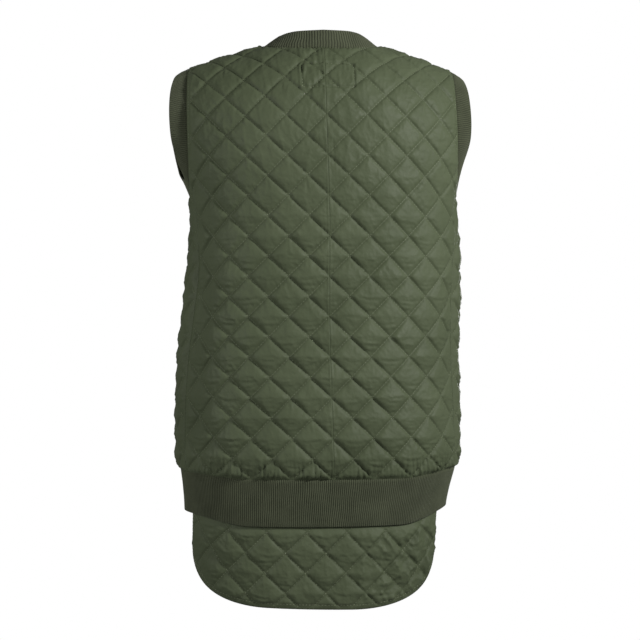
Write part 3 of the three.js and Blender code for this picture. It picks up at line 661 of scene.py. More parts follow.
def quilt_lattice(ring, crossing, count):
    """The nodes and quads of a lattice along the quilting lines that lie inside the ring."""
    step = QUILT / 2 / count
    low, high = ring.min(axis=0) - (0, crossing), ring.max(axis=0) - (0, crossing)
    first = math.floor(min(low[0] + low[1], low[1] - high[0]) / (2 * step))
    last = math.ceil(max(high[0] + high[1], high[1] - low[0]) / (2 * step))
    numbers = np.arange(first, last + 1)
    a, b = (grid.ravel() for grid in np.meshgrid(numbers, numbers, indexing="ij"))
    places = np.column_stack([(a - b) * step, (a + b) * step + crossing])
    boxed = ((places > ring.min(axis=0)) & (places < ring.max(axis=0))).all(axis=1)
    near = np.zeros(len(a), bool)
    near[boxed] = inside_ring(ring, places[boxed])
    closed = np.vstack([ring, ring[:1]])
    near[near] = line_distance([closed], places[near]) > EDGE_ROOM * step
    kept = near.reshape(len(numbers), -1)
    full = kept[:-1, :-1] & kept[1:, :-1] & kept[1:, 1:] & kept[:-1, 1:]
    at = np.arange(kept.size).reshape(kept.shape)
    corners = np.stack([at[:-1, :-1], at[1:, :-1], at[1:, 1:], at[:-1, 1:]], axis=-1)
    quads = corners[full]
    used, quads = np.unique(quads, return_inverse=True)
    quads = quads.reshape(-1, 4)
    return places[used], quads, np.column_stack([a, b])[used], (full, first, 2 * step)


def rim_edges(quads):
    """The edges that only one quad has."""
    sides = np.concatenate([quads[:, [k, (k + 1) % 4]] for k in range(4)])
    _, place, count = np.unique(np.sort(sides, axis=1), axis=0, return_index=True, return_counts=True)
    return sides[place[count == 1]]


def strip_triangles(ring, nodes, quads, crossing, filled):
    """Triangles between the ring and the lattice, numbered with the ring's points first."""
    full, first, width = filled
    rim = rim_edges(quads)
    used, rim = np.unique(rim, return_inverse=True)
    rim = rim.reshape(-1, 2)
    count = len(ring)
    points = np.vstack([ring, nodes[used]])
    loop = [(k, (k + 1) % count) for k in range(count)]
    edges = loop + [(count + a, count + b) for a, b in rim.tolist()]
    made = delaunay_2d_cdt([Vector(p) for p in points.tolist()], edges, [], 0, 1e-5)
    source = np.array([origin[0] for origin in made[3]])
    triangles = source[np.array(made[2])]
    middles = points[triangles].mean(axis=1)
    place = middles - (0, crossing)
    cell = np.stack([place[:, 0] + place[:, 1], place[:, 1] - place[:, 0]], axis=-1) / width - first
    cell = np.clip(np.floor(cell).astype(int), 0, len(full) - 1)
    free = inside_ring(ring, middles) & ~full[cell[:, 0], cell[:, 1]]
    numbering = np.concatenate([np.arange(count), count + used])
    return numbering[triangles[free]]


def facing_up(points, faces):
    """Faces turned anticlockwise in cloth coordinates."""
    made = []
    for face in faces:
        x, y = points[list(face)].T
        area = np.dot(x, np.roll(y, -1)) - np.dot(y, np.roll(x, -1))
        made.append(tuple(face) if area > 0 else tuple(face)[::-1])
    return made


def flat_net(ring, crossing, count):
    """Cloth coordinates and faces of a net over a panel, and each point's lattice numbers."""
    nodes, quads, numbers, filled = quilt_lattice(ring, crossing, count)
    strip = strip_triangles(ring, nodes, quads, crossing, filled)
    points = np.vstack([ring, nodes])
    faces = facing_up(points, strip.tolist()) + [tuple(quad) for quad in (quads + len(ring)).tolist()]
    off_line = np.full((len(ring), 2), 1)
    return points, faces, np.vstack([off_line, numbers])


def new_object(name, points, faces, node=None):
    """A smooth mesh piece from points in metres."""
    mesh = bpy.data.meshes.new(name)
    mesh.from_pydata(np.asarray(points).tolist(), [], faces)
    mesh.shade_smooth()
    piece = bpy.data.objects.new(name, mesh)
    bpy.context.scene.collection.objects.link(piece)
    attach(piece, "root")
    if node:
        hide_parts(node)
    return piece


def read_points(mesh, name=None):
    source = mesh.vertices if name is None else mesh.attributes[name].data
    flat = np.empty(len(mesh.vertices) * 3, np.float32)
    source.foreach_get("co" if name is None else "vector", flat)
    return flat.reshape(-1, 3).astype(float)


def write_points(mesh, points):
    mesh.vertices.foreach_set("co", np.asarray(points, np.float32).ravel())
    mesh.update()


def keep_cloth_place(mesh, places):
    """Cloth coordinates as a point attribute that subdivision carries on."""
    layer = mesh.attributes.new("cloth", "FLOAT_VECTOR", "POINT")
    flat = np.column_stack([places, np.zeros(len(places))])
    layer.data.foreach_set("vector", flat.astype(np.float32).ravel())


def crease_quilting(mesh, numbers, count):
    """Creases the edges that lie on a quilting line."""
    ends = np.empty(len(mesh.edges) * 2, np.int32)
    mesh.edges.foreach_get("vertices", ends)
    first, second = numbers[ends[::2]], numbers[ends[1::2]]
    on_line = ((first == second) & (first % count == 0)).any(axis=1)
    layer = mesh.attributes.new("crease_edge", "FLOAT", "EDGE")
    layer.data.foreach_set("value", np.where(on_line, LINE_CREASE, 0.0).astype(np.float32))


def apply_modifiers(piece):
    ready = bpy.context.evaluated_depsgraph_get()
    mesh = bpy.data.meshes.new_from_object(piece.evaluated_get(ready))
    piece.modifiers.clear()
    old = piece.data
    mesh.name = old.name
    piece.data = mesh
    bpy.data.meshes.remove(old)


def outline_loop(mesh):
    """The points along the open edge of a mesh, in order."""
    faces = [tuple(polygon.vertices) for polygon in mesh.polygons]
    directed = dict.fromkeys((a, b) for face in faces for a, b in zip(face, face[1:] + face[:1]))
    following = {a: b for a, b in directed if (b, a) not in directed}
    start = next(iter(following))
    loop = [start]
    while following[loop[-1]] != start:
        loop.append(following[loop[-1]])
    return loop


def write_uv(mesh, places):
    """A map in metres of cloth, for the weave."""
    layer = mesh.uv_layers.new(name="UVMap")
    corners = np.empty(len(mesh.loops), np.int32)
    mesh.loops.foreach_get("vertex_index", corners)
    layer.data.foreach_set("uv", (places[corners] * MM).astype(np.float32).ravel())


def add_inner_face(piece, place, crossing, inner_lift):
    """Closes the padded skin with the plain face that lies inwards."""
    mesh = piece.data
    outer = read_points(mesh)
    cloth = read_points(mesh, "cloth")[:, :2]
    loop = outline_loop(mesh)
    points, faces, _ = flat_net(cloth[loop], crossing, INNER_LATTICE)
    inner = place(points[:, 0], points[:, 1], inner_lift(points)) * MM
    count, base = len(loop), len(outer)
    skins = [tuple(polygon.vertices) for polygon in mesh.polygons]
    skins += [tuple(base + k for k in face[::-1]) for face in faces]
    for k in range(count):
        after = (k + 1) % count
        skins.append((loop[k], base + k, base + after, loop[after]))
    mesh.clear_geometry()
    mesh.from_pydata(np.vstack([outer, inner]).tolist(), [], skins)
    mesh.shade_smooth()
    write_uv(mesh, np.vstack([cloth, points]))


# Quilted panels

# At each kind of edge: how far the cloth turns down and over what width, and the width that is pressed flat
EDGES = {
    "centre": {"roll": 0.5, "wide": 1.6, "fade": 0},
    "side": {"roll": 0.9, "wide": 5, "fade": 12},
    "shoulder": {"roll": 0.6, "wide": 5, "fade": 18},
    "hem": {"roll": 0.5, "wide": 4, "fade": 10},
    "armhole": {"roll": 0.5, "wide": 2, "fade": 13},
    "neck": {"roll": 0.5, "wide": 5, "fade": 11},
    "turned": {"roll": 0.9, "wide": 1.3, "fade": 12},
}
# Small folds beside each knitted band: how far they reach and how high they are
GATHERS = {
    "hem": {"wide": 8.5, "high": 2.6},
    "armhole": {"wide": 5, "high": 0.8},
    "neck": {"wide": 8, "high": 0.9},
}
# Rows of stitching along the edges: how far in they run, and how deep they pull the cloth
TOP_STITCHES = {
    "armhole": {"inset": 4.0, "deep": 1.2},
    "neck": {"inset": 2.6, "deep": 0.3},
    "turned": {"inset": 7.0, "deep": 0.7},
}
PULL_WIDE = 1.1  # width of the groove along a row

# Stitched rectangle of the neck label on the back: distances from the centre seam, and heights in space
LABEL = {"left": 33, "right": 42, "seam": 1.5, "top": -43, "low": -79}
LABEL_REACH = 9  # how far its stitching draws the cloth
LABEL_TOP, LABEL_LOW = (cloth_place(20, LABEL[end], "back")[1] for end in ("top", "low"))
# How strongly the label draws up each half of the back, and the ridge and groove along its stitching
LABEL_PUCKERS = {"left": 1.5, "right": 0.7}
LABEL_RIDGE = {"away": 3.2, "wide": 1.3, "high": 0.8}
LABEL_GROOVE = {"wide": 1.2, "deep": 1.7}
SEAM_FOLDS = {"apart": 2.6, "long": 45, "beside": 7, "reach": 6, "high": 0.9}
# The tail flap is crushed on the wearer's right, from one distance past its middle to another
TAIL_CRUSH = {"from": 25, "to": 95, "least": 0.6, "more": 2.5}


def label_distance(s, t, side):
    """Distance from the stitched outline of one half of the label, within the reach of its stitching."""
    upright = np.abs(s - side) + LABEL_REACH * (1 - smooth(t, LABEL_LOW - 2, LABEL_LOW))
    upright += LABEL_REACH * smooth(t, LABEL_TOP, LABEL_TOP + 2)
    level = np.minimum(np.abs(t - LABEL_TOP), np.abs(t - LABEL_LOW))
    return np.minimum(upright, level + LABEL_REACH * smooth(s, side, side + 2))


def back_wear(hand, seed):
    """Fine folds beside the centre back seam, and the cloth drawn together by the label's stitching."""
    half = "left" if hand > 0 else "right"
    side = LABEL[half]

    def wear(s, t, filled):
        beside = bell((s - SEAM_FOLDS["beside"]) / SEAM_FOLDS["reach"])
        folds = SEAM_FOLDS["high"] * (noise(s / SEAM_FOLDS["apart"], t / SEAM_FOLDS["long"], seed) * beside)
        folds *= 0.6 + 0.4 * noise(s * 0, t / 30, seed + 1)
        inside = (1 - smooth(s, side, side + 12)) * smooth(t, LABEL_LOW - 14, LABEL_LOW + 2)
        puckers = 0.6 * crumple(s, t * 0.8, seed + 2, 11) + 0.9 * noise(s / 4.5, t / 16, seed + 3)
        away = label_distance(s, t, side)
        sewn = LABEL_RIDGE["high"] * bell((away - LABEL_RIDGE["away"]) / LABEL_RIDGE["wide"])
        sewn -= LABEL_GROOVE["deep"] * bell(away / LABEL_GROOVE["wide"])
        return folds + inside * (LABEL_PUCKERS[half] * puckers - 0.3 * filled * PUFF) + sewn

    return wear


def tail_wear(s, t, filled):
    """Crushed cloth, smooth where the waistband presses on it."""
    crushed = TAIL_CRUSH["least"] + TAIL_CRUSH["more"] * smooth(-s, TAIL_CRUSH["from"], TAIL_CRUSH["to"])
    crushed *= smooth(WAIST_BOTTOM - t, 0, 16)
    facets = 1.3 * crumple(s, t, 811, 27) + 1.1 * noise(s / 19, t / 21, 812)
    return crushed * facets * (0.3 + 0.7 * filled)


def back_panel(hand, seed):
    return {
        "outline": back_outline(hand),
        "place": back_cloth(hand),
        "crossing": CROSSING,
        "seed": seed,
        "pressed": lambda s, t: 1.0,
        "folded": lambda s: 1 - (0.45 if hand < 0 else 0.2) * smooth(s, 70, 170),
        "gathered": lambda s: 1.1 + 1.2 * bell(s / 22) + (1.0 * smooth(s, 90, 150) if hand < 0 else 0.3),
        "welt": 0.7,
        "wear": back_wear(hand, seed + 900),
    }


def front_panel(hand, seed):
    return {
        "outline": front_outline(hand),
        "place": front_cloth(hand),
        "crossing": CROSSING,
        "seed": seed,
        "pressed": lambda s, t: smooth(s, PLACKET_HALF, 2 * PLACKET_HALF),
        "folded": lambda s: 0.8 * smooth(s, PLACKET_HALF, 60),
        "gathered": lambda s: 1.0,
        "welt": 0,
        "wear": lambda s, t, filled: 0,
    }


def tail_panel(seed):
    return {
        "outline": tail_outline(),
        "place": tail_cloth,
        "crossing": TAIL_CROSSING,
        "seed": seed,
        "pressed": lambda s, t: smooth(WAIST_BOTTOM - t, 0, QUILT / 4),
        "folded": lambda s: 0.5,
        "gathered": lambda s: 0,
        "wear": tail_wear,
    }


PANELS = {
    "back_left": back_panel(1, 11),
    "back_right": back_panel(-1, 23),
    "front_left": front_panel(1, 37),
    "front_right": front_panel(-1, 41),
    "tail": tail_panel(59),
}


def rim_of(panel, places):
    """Distance from each place to each edge of the panel."""
    return {name: line_distance([edge], places) for name, edge in panel["outline"].items()}


def unpressed(rim):
    """0 on the panel's edge and 1 beyond the strip that is pressed flat along it."""
    shares = [far / EDGES[name]["fade"] for name, far in rim.items() if EDGES[name]["fade"]]
    return smooth(np.minimum.reduce(shares), 0, 1)


# Depths below the neck between which level folds and sagging folds grow from their least share to all of it
LEVEL_FOLDS = {"least": 0.2, "from": 190, "to": 340}
SAGGING = {"least": 0.3, "from": 200, "to": 420}
UPPER_BODY = (-330, -90)
# Strength of each kind of crease
STRENGTH = {"puckers": 1.0, "sags": 0.7, "fans": 0.5, "crumple": 0.6, "waves": 0.9, "drags": 0.8}


def growing(depth, share):
    return share["least"] + (1 - share["least"]) * smooth(depth, share["from"], share["to"])


def smooth_lift(panel, places, rim):
    """Height of the padded face before its creases, off the inner face of the cloth."""
    s, t = places.T
    lower = growing(-t, LEVEL_FOLDS)
    folded = lower * panel["folded"](s) * crests(s, t, panel["crossing"], panel["seed"] + 500)
    height = PUFF + UPPER_PUFF * (1 - lower) + folded
    rise = height * padding(s, t, panel["crossing"]) * unpressed(rim) * panel["pressed"](s, t)
    rolls = [EDGES[name]["roll"] * (1 - smooth(far, 0, EDGES[name]["wide"])) for name, far in rim.items()]
    rows = [(rim[name], sewn) for name, sewn in TOP_STITCHES.items() if name in rim]
    pulled = [sewn["deep"] * bell((far - sewn["inset"]) / PULL_WIDE) for far, sewn in rows]
    return WALL + rise - np.maximum.reduce(rolls) - sum(pulled)


def creases(panel, places, rim):
    """Heights of the creases and folds over the padded face."""
    s, t = places.T
    crossing, seed = panel["crossing"], panel["seed"]
    filled = padding(s, t, crossing)
    inner = smooth(filled, 0.15, 0.7)
    low_down, high_up = growing(-t, SAGGING), smooth(t, *UPPER_BODY)
    drags = crease(noise(s / 17, t / 75, seed + 600), 7)
    made = STRENGTH["puckers"] * line_puckers(s, t, crossing, seed)
    made += STRENGTH["sags"] * low_down * sag_folds(s, t, crossing, seed + 100) * inner
    made += (STRENGTH["fans"] + 0.1 * high_up) * short_creases(s, t, crossing, seed + 200) * inner
    made += STRENGTH["crumple"] * filled * crumple(s, t, seed + 300, 15)
    made += STRENGTH["waves"] * filled * noise(s / 20, t / 17, seed + 400)
    made += STRENGTH["drags"] * high_up * drags * (0.4 + 0.6 * filled)
    made *= unpressed(rim) * panel["pressed"](s, t)
    worn_in = panel["wear"](s, t, filled)
    if "turned" in rim:
        worn_in *= smooth(rim["turned"], 1, 9)
    made += edge_gathers(panel, s, t, rim) + worn_in
    if "centre" in rim:
        made *= smooth(rim["centre"], 0, 4)
        made += panel["welt"] * bell(s / 2.2)
    return made


def edge_gathers(panel, s, t, rim):
    """Small folds that run off the edges where the cloth is gathered into a band."""
    total = np.zeros(len(s))
    for name, made in GATHERS.items():
        if name not in rim:
            continue
        along, beside = (t, s) if name == "armhole" else (s, t)
        folds = noise(along / 3.6, beside / 30, panel["seed"] + 700)
        folds += 0.7 * crease(noise(along / 6, beside / 24, panel["seed"] + 701), 4) - 0.2
        patches = 0.6 + 0.6 * noise(along / 34, 0 * along, panel["seed"] + 702)
        reach = rim[name] / made["wide"]
        high = made["high"] * panel["gathered"](s) * patches
        total += high * folds * reach * np.exp(1 - reach) * smooth(rim[name], 0, 3)
    return total


def quilted_panel(name, panel):
    """A padded skin over its plain inner face, closed along its edge."""
    ring = ring_of(panel["outline"])
    places, faces, numbers = flat_net(ring, panel["crossing"], LATTICE)
    start = panel["place"](*places.T, smooth_lift(panel, places, rim_of(panel, places)))
    piece = new_object("quilted_" + name, start * MM, faces, node=name)
    keep_cloth_place(piece.data, places)
    crease_quilting(piece.data, numbers, LATTICE)
    finer = piece.modifiers.new("finer", "SUBSURF")
    finer.levels = finer.render_levels = 1
    finer.boundary_smooth = "ALL"
    apply_modifiers(piece)
    mesh = piece.data
    fine = read_points(mesh, "cloth")[:, :2]
    rim = rim_of(panel, fine)
    lift = smooth_lift(panel, fine, rim) + creases(panel, fine, rim)
    write_points(mesh, panel["place"](*fine.T, lift) * MM)

    def inner_lift(points):
        filled = padding(*points.T, panel["crossing"]) * panel["pressed"](*points.T)
        return -INNER_PUFF * filled * unpressed(rim_of(panel, points))

    add_inner_face(piece, panel["place"], panel["crossing"], inner_lift)
    return piece


# Knitted bands


def rib_height(phase):
    """A round rib between two narrow grooves: 0 on its top, -1 in a groove."""
    return np.abs(np.sin(np.pi * phase)) ** 0.6 - 1


RIB_COLUMNS = 6
RIB_RISE = 1.25
RIB_FOOT = 0.3  # how far the grooves stand off the wall
# Ribs wander sideways, in ribs, and stand out unevenly, in millimetres
RIB_WANDER = {"far": 0.35, "ribs": 9, "down": 2.5}
RIB_WEAR = {"far": 0.35, "ribs": 14, "down": 3.1}


def rib_noise(kind, phase, r, seed):
    return kind["far"] * noise(phase / kind["ribs"], np.full(len(phase), kind["down"] * r), seed)


def loop_steps(depth):
    """Each corner of a loop with the one after it."""
    return [(j, (j + 1) % depth) for j in range(depth)]


def end_caps(columns, depth):
    """The two faces that close the ends of looped columns."""
    return [tuple(range(depth)), tuple(range((columns - 1) * depth, columns * depth))[::-1]]


def knitted_band(name, surface, ribs, closed, rows, seed, under=-0.03):
    """A closed knitted wall over a surface that gives base points and directions at shares along and across.

    under is the share of its height that is sewn in beneath the quilted cloth.
    """
    count = ribs * RIB_COLUMNS
    along = np.arange(count if closed else count + 1) / count
    phase = along * ribs
    outer_rows, inner_rows = rows
    down = [(r, 0.0) for r in np.linspace(under, 1, outer_rows)]
    fold = [(1, angle) for angle in np.linspace(0, np.pi, 6)[1:-1]]
    back = [(r, np.pi) for r in np.linspace(1, under, inner_rows)]
    middle = BAND_WALL / 2
    rings = []
    for r, angle in down + fold + back:
        shares = along + rib_noise(RIB_WANDER, phase, r, seed) / ribs
        base, outward, onward = surface(shares, np.full(len(along), float(r)))
        rib = RIB_RISE * rib_height(phase) * np.abs(math.cos(angle))
        reach = middle + RIB_FOOT + rib + rib_noise(RIB_WEAR, phase, r, seed + 5) * math.cos(angle)
        point = base + outward * (middle + reach * math.cos(angle))[:, None]
        rings.append(point + onward * (middle * 0.8 * math.sin(angle)))
    grid = np.stack(rings, axis=1)
    columns, depth = grid.shape[:2]
    faces = []
    for k in range(columns if closed else columns - 1):
        here, after = k * depth, (k + 1) % columns * depth
        faces += [(here + j, after + j, after + on, here + on) for j, on in loop_steps(depth)]
    if not closed:
        faces += end_caps(columns, depth)
    points = grid.reshape(-1, 3)
    piece = new_object("knitted_" + name, points * MM, faces, node=name)
    tall = np.linalg.norm(rings[outer_rows - 1] - rings[0], axis=1).mean()
    falling, rising = np.linspace(0, tall, outer_rows), np.linspace(tall, 0, inner_rows)
    rows_at = np.concatenate([falling, np.full(len(fold), tall), rising])
    write_uv(piece.data, np.column_stack([np.repeat(phase, depth), np.tile(rows_at, columns)]))
    turn_outwards(piece.data)
    return piece


def turn_outwards(mesh):
    """Flips all faces of a closed mesh together when they enclose a negative volume, so that on the whole
    they face outwards.
    """
    points = read_points(mesh)
    mesh.calc_loop_triangles()
    corners = np.empty(len(mesh.loop_triangles) * 3, np.int32)
    mesh.loop_triangles.foreach_get("vertices", corners)
    a, b, c = (points[corners[k::3]] for k in range(3))
    if np.einsum("ij,ij->i", np.cross(a, b), c).sum() < 0:
        mesh.flip_normals()


def seam_pairs(panel, edge):
    """Points on the inner face along an edge, with the directions through the cloth."""
    places = PANELS[panel]["outline"][edge]
    inner = PANELS[panel]["place"](*places.T, 0)
    outer = PANELS[panel]["place"](*places.T, WALL)
    return np.column_stack([inner, unit(outer - inner)])


def join_pairs(edges):
    """Edges end to end, with one point in place of the two where panels meet."""
    made = edges[0]
    for edge in edges[1:]:
        made = np.vstack([made[:-1], [(made[-1] + edge[0]) / 2], edge[1:]])
    return made


def offset_surface(pairs, offsets, closed, bulge):
    """The surface from a seam to the free edge of a band."""
    base, through = pairs[:, :3], unit(pairs[:, 3:])
    if closed:
        before, after = np.roll(base, 1, axis=0), np.roll(base, -1, axis=0)
    else:
        before = np.vstack([base[:1], base[:-1]])
        after = np.vstack([base[1:], base[-1:]])
    facing = np.cross(after - before, offsets)
    facing = unit(facing * np.sign((facing * through).sum(axis=1, keepdims=True)))
    rows = np.hstack([base, offsets, through, facing])
    if closed:
        rows = np.vstack([rows, rows[:1]])
    at = span(rows[:, :3])
    at = at / at[-1]

    def surface(share, r):
        share = share % 1 if closed else np.clip(share, 0, 1)
        read = np.column_stack([np.interp(share, at, column) for column in rows.T])
        outward = unit(read[:, 6:9] * (1 - r)[:, None] + read[:, 9:12] * r[:, None])
        crown = bulge * np.sin(np.pi * r)
        point = read[:, :3] + read[:, 3:6] * r[:, None] + outward * crown[:, None]
        return point, outward, unit(read[:, 3:6])

    return surface, span(rows[:, :3])[-1]


def ring_middle(pairs):
    low, high = pairs[:, :3].min(axis=0), pairs[:, :3].max(axis=0)
    return (low + high) / 2, (high - low) / 2


def turn_of(aside, ahead):
    return np.degrees(np.abs(np.arctan2(aside, ahead)))


def armhole_band(name, hand, back, front, seed):
    pairs = join_pairs([seam_pairs(back, "armhole"), seam_pairs(front, "armhole")[::-1]])
    pairs = np.vstack([[(pairs[0] + pairs[-1]) / 2], pairs[1:-1]])
    middle, half = ring_middle(pairs)
    inwards = unit((middle - pairs[:, :3]) * (0, 1, 1))
    turn = turn_of(inwards[:, 1] / half[1], -inwards[:, 2] / half[2])
    columns = ("left" if hand > 0 else "right", "up", "in")
    out, up, inward = (look_up(ARM_BAND, "turn", turn, column) for column in columns)
    offsets = np.column_stack([hand * out, 0 * out, up]) + inwards * inward[:, None]
    surface, length = offset_surface(pairs, offsets, True, 0.8)
    piece = knitted_band(name, surface, round(length / ARM_RIB), True, (9, 6), seed)
    return piece, length, np.linalg.norm(offsets, axis=1).mean()


def neck_band():
    pairs = join_pairs([
        seam_pairs("front_left", "neck")[::-1],
        seam_pairs("back_left", "neck"),
        seam_pairs("back_right", "neck")[::-1],
        seam_pairs("front_right", "neck"),
    ])
    middle, half = ring_middle(pairs)
    inwards = unit((middle - pairs[:, :3]) * (1, 1, 0))
    turn = turn_of(inwards[:, 0] / half[0], -inwards[:, 1] / half[1])
    inward, up = (look_up(NECK_BAND, "turn", turn, column) for column in ("in", "up"))
    offsets = inwards * inward[:, None] + np.column_stack([0 * up, 0 * up, up])
    surface, length = offset_surface(pairs, offsets, False, 0.8)
    piece = knitted_band("neck_rib", surface, round(length / NECK_RIB), False, (9, 6), 71)
    return piece, length, np.linalg.norm(offsets, axis=1).mean()


def waistband():
    top = HEM - SEAM

    def surface(share, r):
        t = top + (WAIST_BOTTOM - top) * r
        half = half_round(t) - SEAM / 2
        around = -half - OPENING_X + 2 * half * share
        inner, outer = worn(around, t, 0.0), worn(around, t, 1.0)
        below = worn(around, t - 1, 0.0)
        return inner, unit(outer - inner), unit(below - inner)

    length = 2 * half_round(top)
    piece = knitted_band("waistband", surface, round(length / WAIST_RIB), False, (14, 6), 83, under=-0.014)
    return piece, length, top - WAIST_BOTTOM


# Front closure


def closure_rows():
    top = PANELS["front_left"]["outline"]["centre"][0, 1] - SEAM
    return WAIST_BOTTOM, top


# The rounded edge of the placket, from its underside to its face: distance in from the edge, and height
PLACKET_EDGE = ((0.6, 0), (0, 0.3), (0, 1.1), (0.5, PLACKET_WALL))
PLACKET_ROWS = 300
PLACKET_STITCH = {"inset": 4, "deep": 0.35, "wide": 1.0}
PLACKET_WAVES = {"inset": 6, "high": 0.35, "wide": 6}


def placket():
    """A flat strip with rounded edges over the opening."""
    low, high = closure_rows()
    t = np.linspace(low, high, PLACKET_ROWS)
    under = WALL + PLACKET_GAP
    half = PLACKET_HALF
    one_edge = [(inset - half, lift) for inset, lift in PLACKET_EDGE]
    other_edge = [(half - inset, lift) for inset, lift in PLACKET_EDGE[::-1]]
    face = [(s, PLACKET_WALL) for s in np.linspace(-half + 1.5, half - 1.5, 15)]
    section = one_edge[1:] + face + other_edge + one_edge[:1]
    place = PANELS["front_left"]["place"]
    rings = []
    for s, lift in section:
        flat = np.full(len(t), float(s))
        sewn = wavy = 0
        if lift > PLACKET_WALL / 2:
            inwards = np.abs(flat) - half
            sewn = PLACKET_STITCH["deep"] * bell((inwards + PLACKET_STITCH["inset"]) / PLACKET_STITCH["wide"])
            beside = bell((inwards + PLACKET_WAVES["inset"]) / PLACKET_WAVES["wide"])
            wavy = PLACKET_WAVES["high"] * noise(t / 16, flat / 11, 97) * beside
        rings.append(place(flat, t, under + lift - sewn + wavy))
    grid = np.stack(rings, axis=1)
    rows, depth = grid.shape[:2]
    faces = []
    for k in range(rows - 1):
        here, after = k * depth, (k + 1) * depth
        faces += [(here + j, here + on, after + on, after + j) for j, on in loop_steps(depth)]
    faces += end_caps(rows, depth)
    piece = new_object("placket_strip", grid.reshape(-1, 3) * MM, faces, node="placket")
    across = np.array([s for s, _ in section])
    write_uv(piece.data, np.column_stack([np.tile(across, rows), np.repeat(t, depth)]))
    turn_outwards(piece.data)
    return piece


# Outline of a stud's cap from its foot to its middle, as radius and height
STUD_PROFILE = table(
    "radius height",
    (6.7, 0.0),
    (7.15, 0.25),
    (7.25, 0.7),
    (7.0, 1.15),
    (6.5, 1.4),
    (6.0, 1.5),
    (5.75, 1.75),
    (5.4, 2.2),
    (4.8, 2.5),
    (4.3, 2.55),
    (3.9, 2.4),
    (3.5, 2.3),
    (2.4, 2.38),
    (1.2, 2.42),
)
STUD_SIDES = 48
STUD_LIFT = 0.1  # off the placket's face


def stud(index):
    low, top = closure_rows()
    first, last = top - STUD_INSET, (HEM + WAIST_BOTTOM) / 2
    t = first + (last - first) * index / (STUD_COUNT - 1)
    place = PANELS["front_left"]["place"]
    on_top = WALL + PLACKET_GAP + PLACKET_WALL
    spots = np.array([[0, t], [3, t], [0, t + 3]], float)
    foot, aside, above = place(spots[:, 0], spots[:, 1], on_top)
    across, up = unit(aside - foot), unit(above - foot)
    outward = unit(np.cross(up, across))
    if np.dot(outward, foot * (1, 1, 0)) < 0:
        outward = -outward
    angle = np.linspace(0, 2 * np.pi, STUD_SIDES, endpoint=False)
    spokes = np.cos(angle)[:, None] * across + np.sin(angle)[:, None] * np.cross(outward, across)
    rings = [
        foot + spokes * radius + outward * (height + STUD_LIFT)
        for radius, height in zip(STUD_PROFILE["radius"], STUD_PROFILE["height"])
    ]
    depth = len(rings)
    points = np.stack(rings, axis=1).reshape(-1, 3)
    faces = []
    for k in range(STUD_SIDES):
        here, after = k * depth, (k + 1) % STUD_SIDES * depth
        faces += [(here + j, after + j, after + j + 1, here + j + 1) for j in range(depth - 1)]
    foot_ring = range(0, STUD_SIDES * depth, depth)
    faces += [tuple(foot_ring), tuple(corner + depth - 1 for corner in foot_ring)[::-1]]
    name = f"stud_{index + 1}"
    piece = new_object("snap_" + name, points * MM, faces, node=name)
    turn_outwards(piece.data)
    return piece


# Stitching

STITCH = {"long": 2.9, "pitch": 4.6, "wide": 0.26, "high": 0.22}
STITCH_ENDS = 0.32  # share of a stitch from its middle to where it tapers
STITCH_LIFT = {"quilting": 0.3, "top": 0.1}
TOP_THICK = 1.7
LABEL_STEP = 2.0


def threads(name, starts, ends, outward, thick=1.0):
    """One piece of many short stitches, each a thin tapered bar."""
    along = unit(ends - starts)
    aside = unit(np.cross(along, outward))
    middle = (starts + ends) / 2
    reach = (ends - starts) * STITCH_ENDS
    wide, high = aside * STITCH["wide"] * thick, outward * STITCH["high"] * thick
    ring = [wide, high, -wide, -high]
    near, far = middle - reach, middle + reach
    corners = [starts] + [end + side for end in (near, far) for side in ring] + [ends]
    points = np.stack(corners, axis=1).reshape(-1, 3)
    bar = [(0, 2, 1), (0, 3, 2), (0, 4, 3), (0, 1, 4)]
    bar += [(1, 2, 6, 5), (2, 3, 7, 6), (3, 4, 8, 7), (4, 1, 5, 8)]
    bar += [(9, 5, 6), (9, 6, 7), (9, 7, 8), (9, 8, 5)]
    faces = [tuple(10 * k + corner for corner in face) for k in range(len(starts)) for face in bar]
    piece = new_object(name, points * MM, faces)
    write_uv(piece.data, points[:, [0, 2]])
    return piece


def stitch_ends(line, pitch=STITCH["pitch"], long=STITCH["long"]):
    """Start and end of each stitch along a line in cloth coordinates."""
    far = span(line)
    starts = np.arange(pitch / 2, far[-1] - long, pitch)
    return [np.column_stack([np.interp(at, far, part) for part in line.T]) for at in (starts, starts + long)]


def panel_threads(name, panel, lines, lift_of, thick=1.0):
    """Stitches along lines of a panel, lying at a height off its inner face."""
    pairs = [stitch_ends(line) for line in lines if len(line) > 1 and span(line)[-1] > 6]
    starts, ends = (np.vstack([pair[k] for pair in pairs]) for k in (0, 1))
    place = panel["place"]
    outward = unit(place(*starts.T, 1.0) - place(*starts.T, 0.0))
    return threads(name, place(*starts.T, lift_of(starts)), place(*ends.T, lift_of(ends)), outward, thick)


def quilting_lines(panel):
    """The quilting lines of a panel, in short runs that stay inside its edge."""
    ring = ring_of(panel["outline"])
    low, high = ring.min(axis=0) - (0, panel["crossing"]), ring.max(axis=0) - (0, panel["crossing"])
    reach = high - low
    lines = []
    for sign in (1, -1):
        corners = [x + sign * y for x in (low[0], high[0]) for y in (low[1], high[1])]
        for number in range(math.ceil(min(corners) / QUILT), math.floor(max(corners) / QUILT) + 1):
            x = np.arange(low[0], high[0], 1.0)
            y = sign * (number * QUILT - x)
            points = np.column_stack([x, y + panel["crossing"]])
            inside = inside_ring(ring, points)
            cuts = np.flatnonzero(np.diff(inside.astype(int)))
            for run in np.split(np.arange(len(x)), cuts + 1):
                if inside[run[0]] and len(run) > 4:
                    lines.append(points[run[2:-2]])
    return lines


def quilting_stitches(name, panel):
    def lift_of(places):
        rim = rim_of(panel, places)
        return smooth_lift(panel, places, rim) + STITCH_LIFT["quilting"]

    return panel_threads("quilting_stitches_" + name, panel, quilting_lines(panel), lift_of)


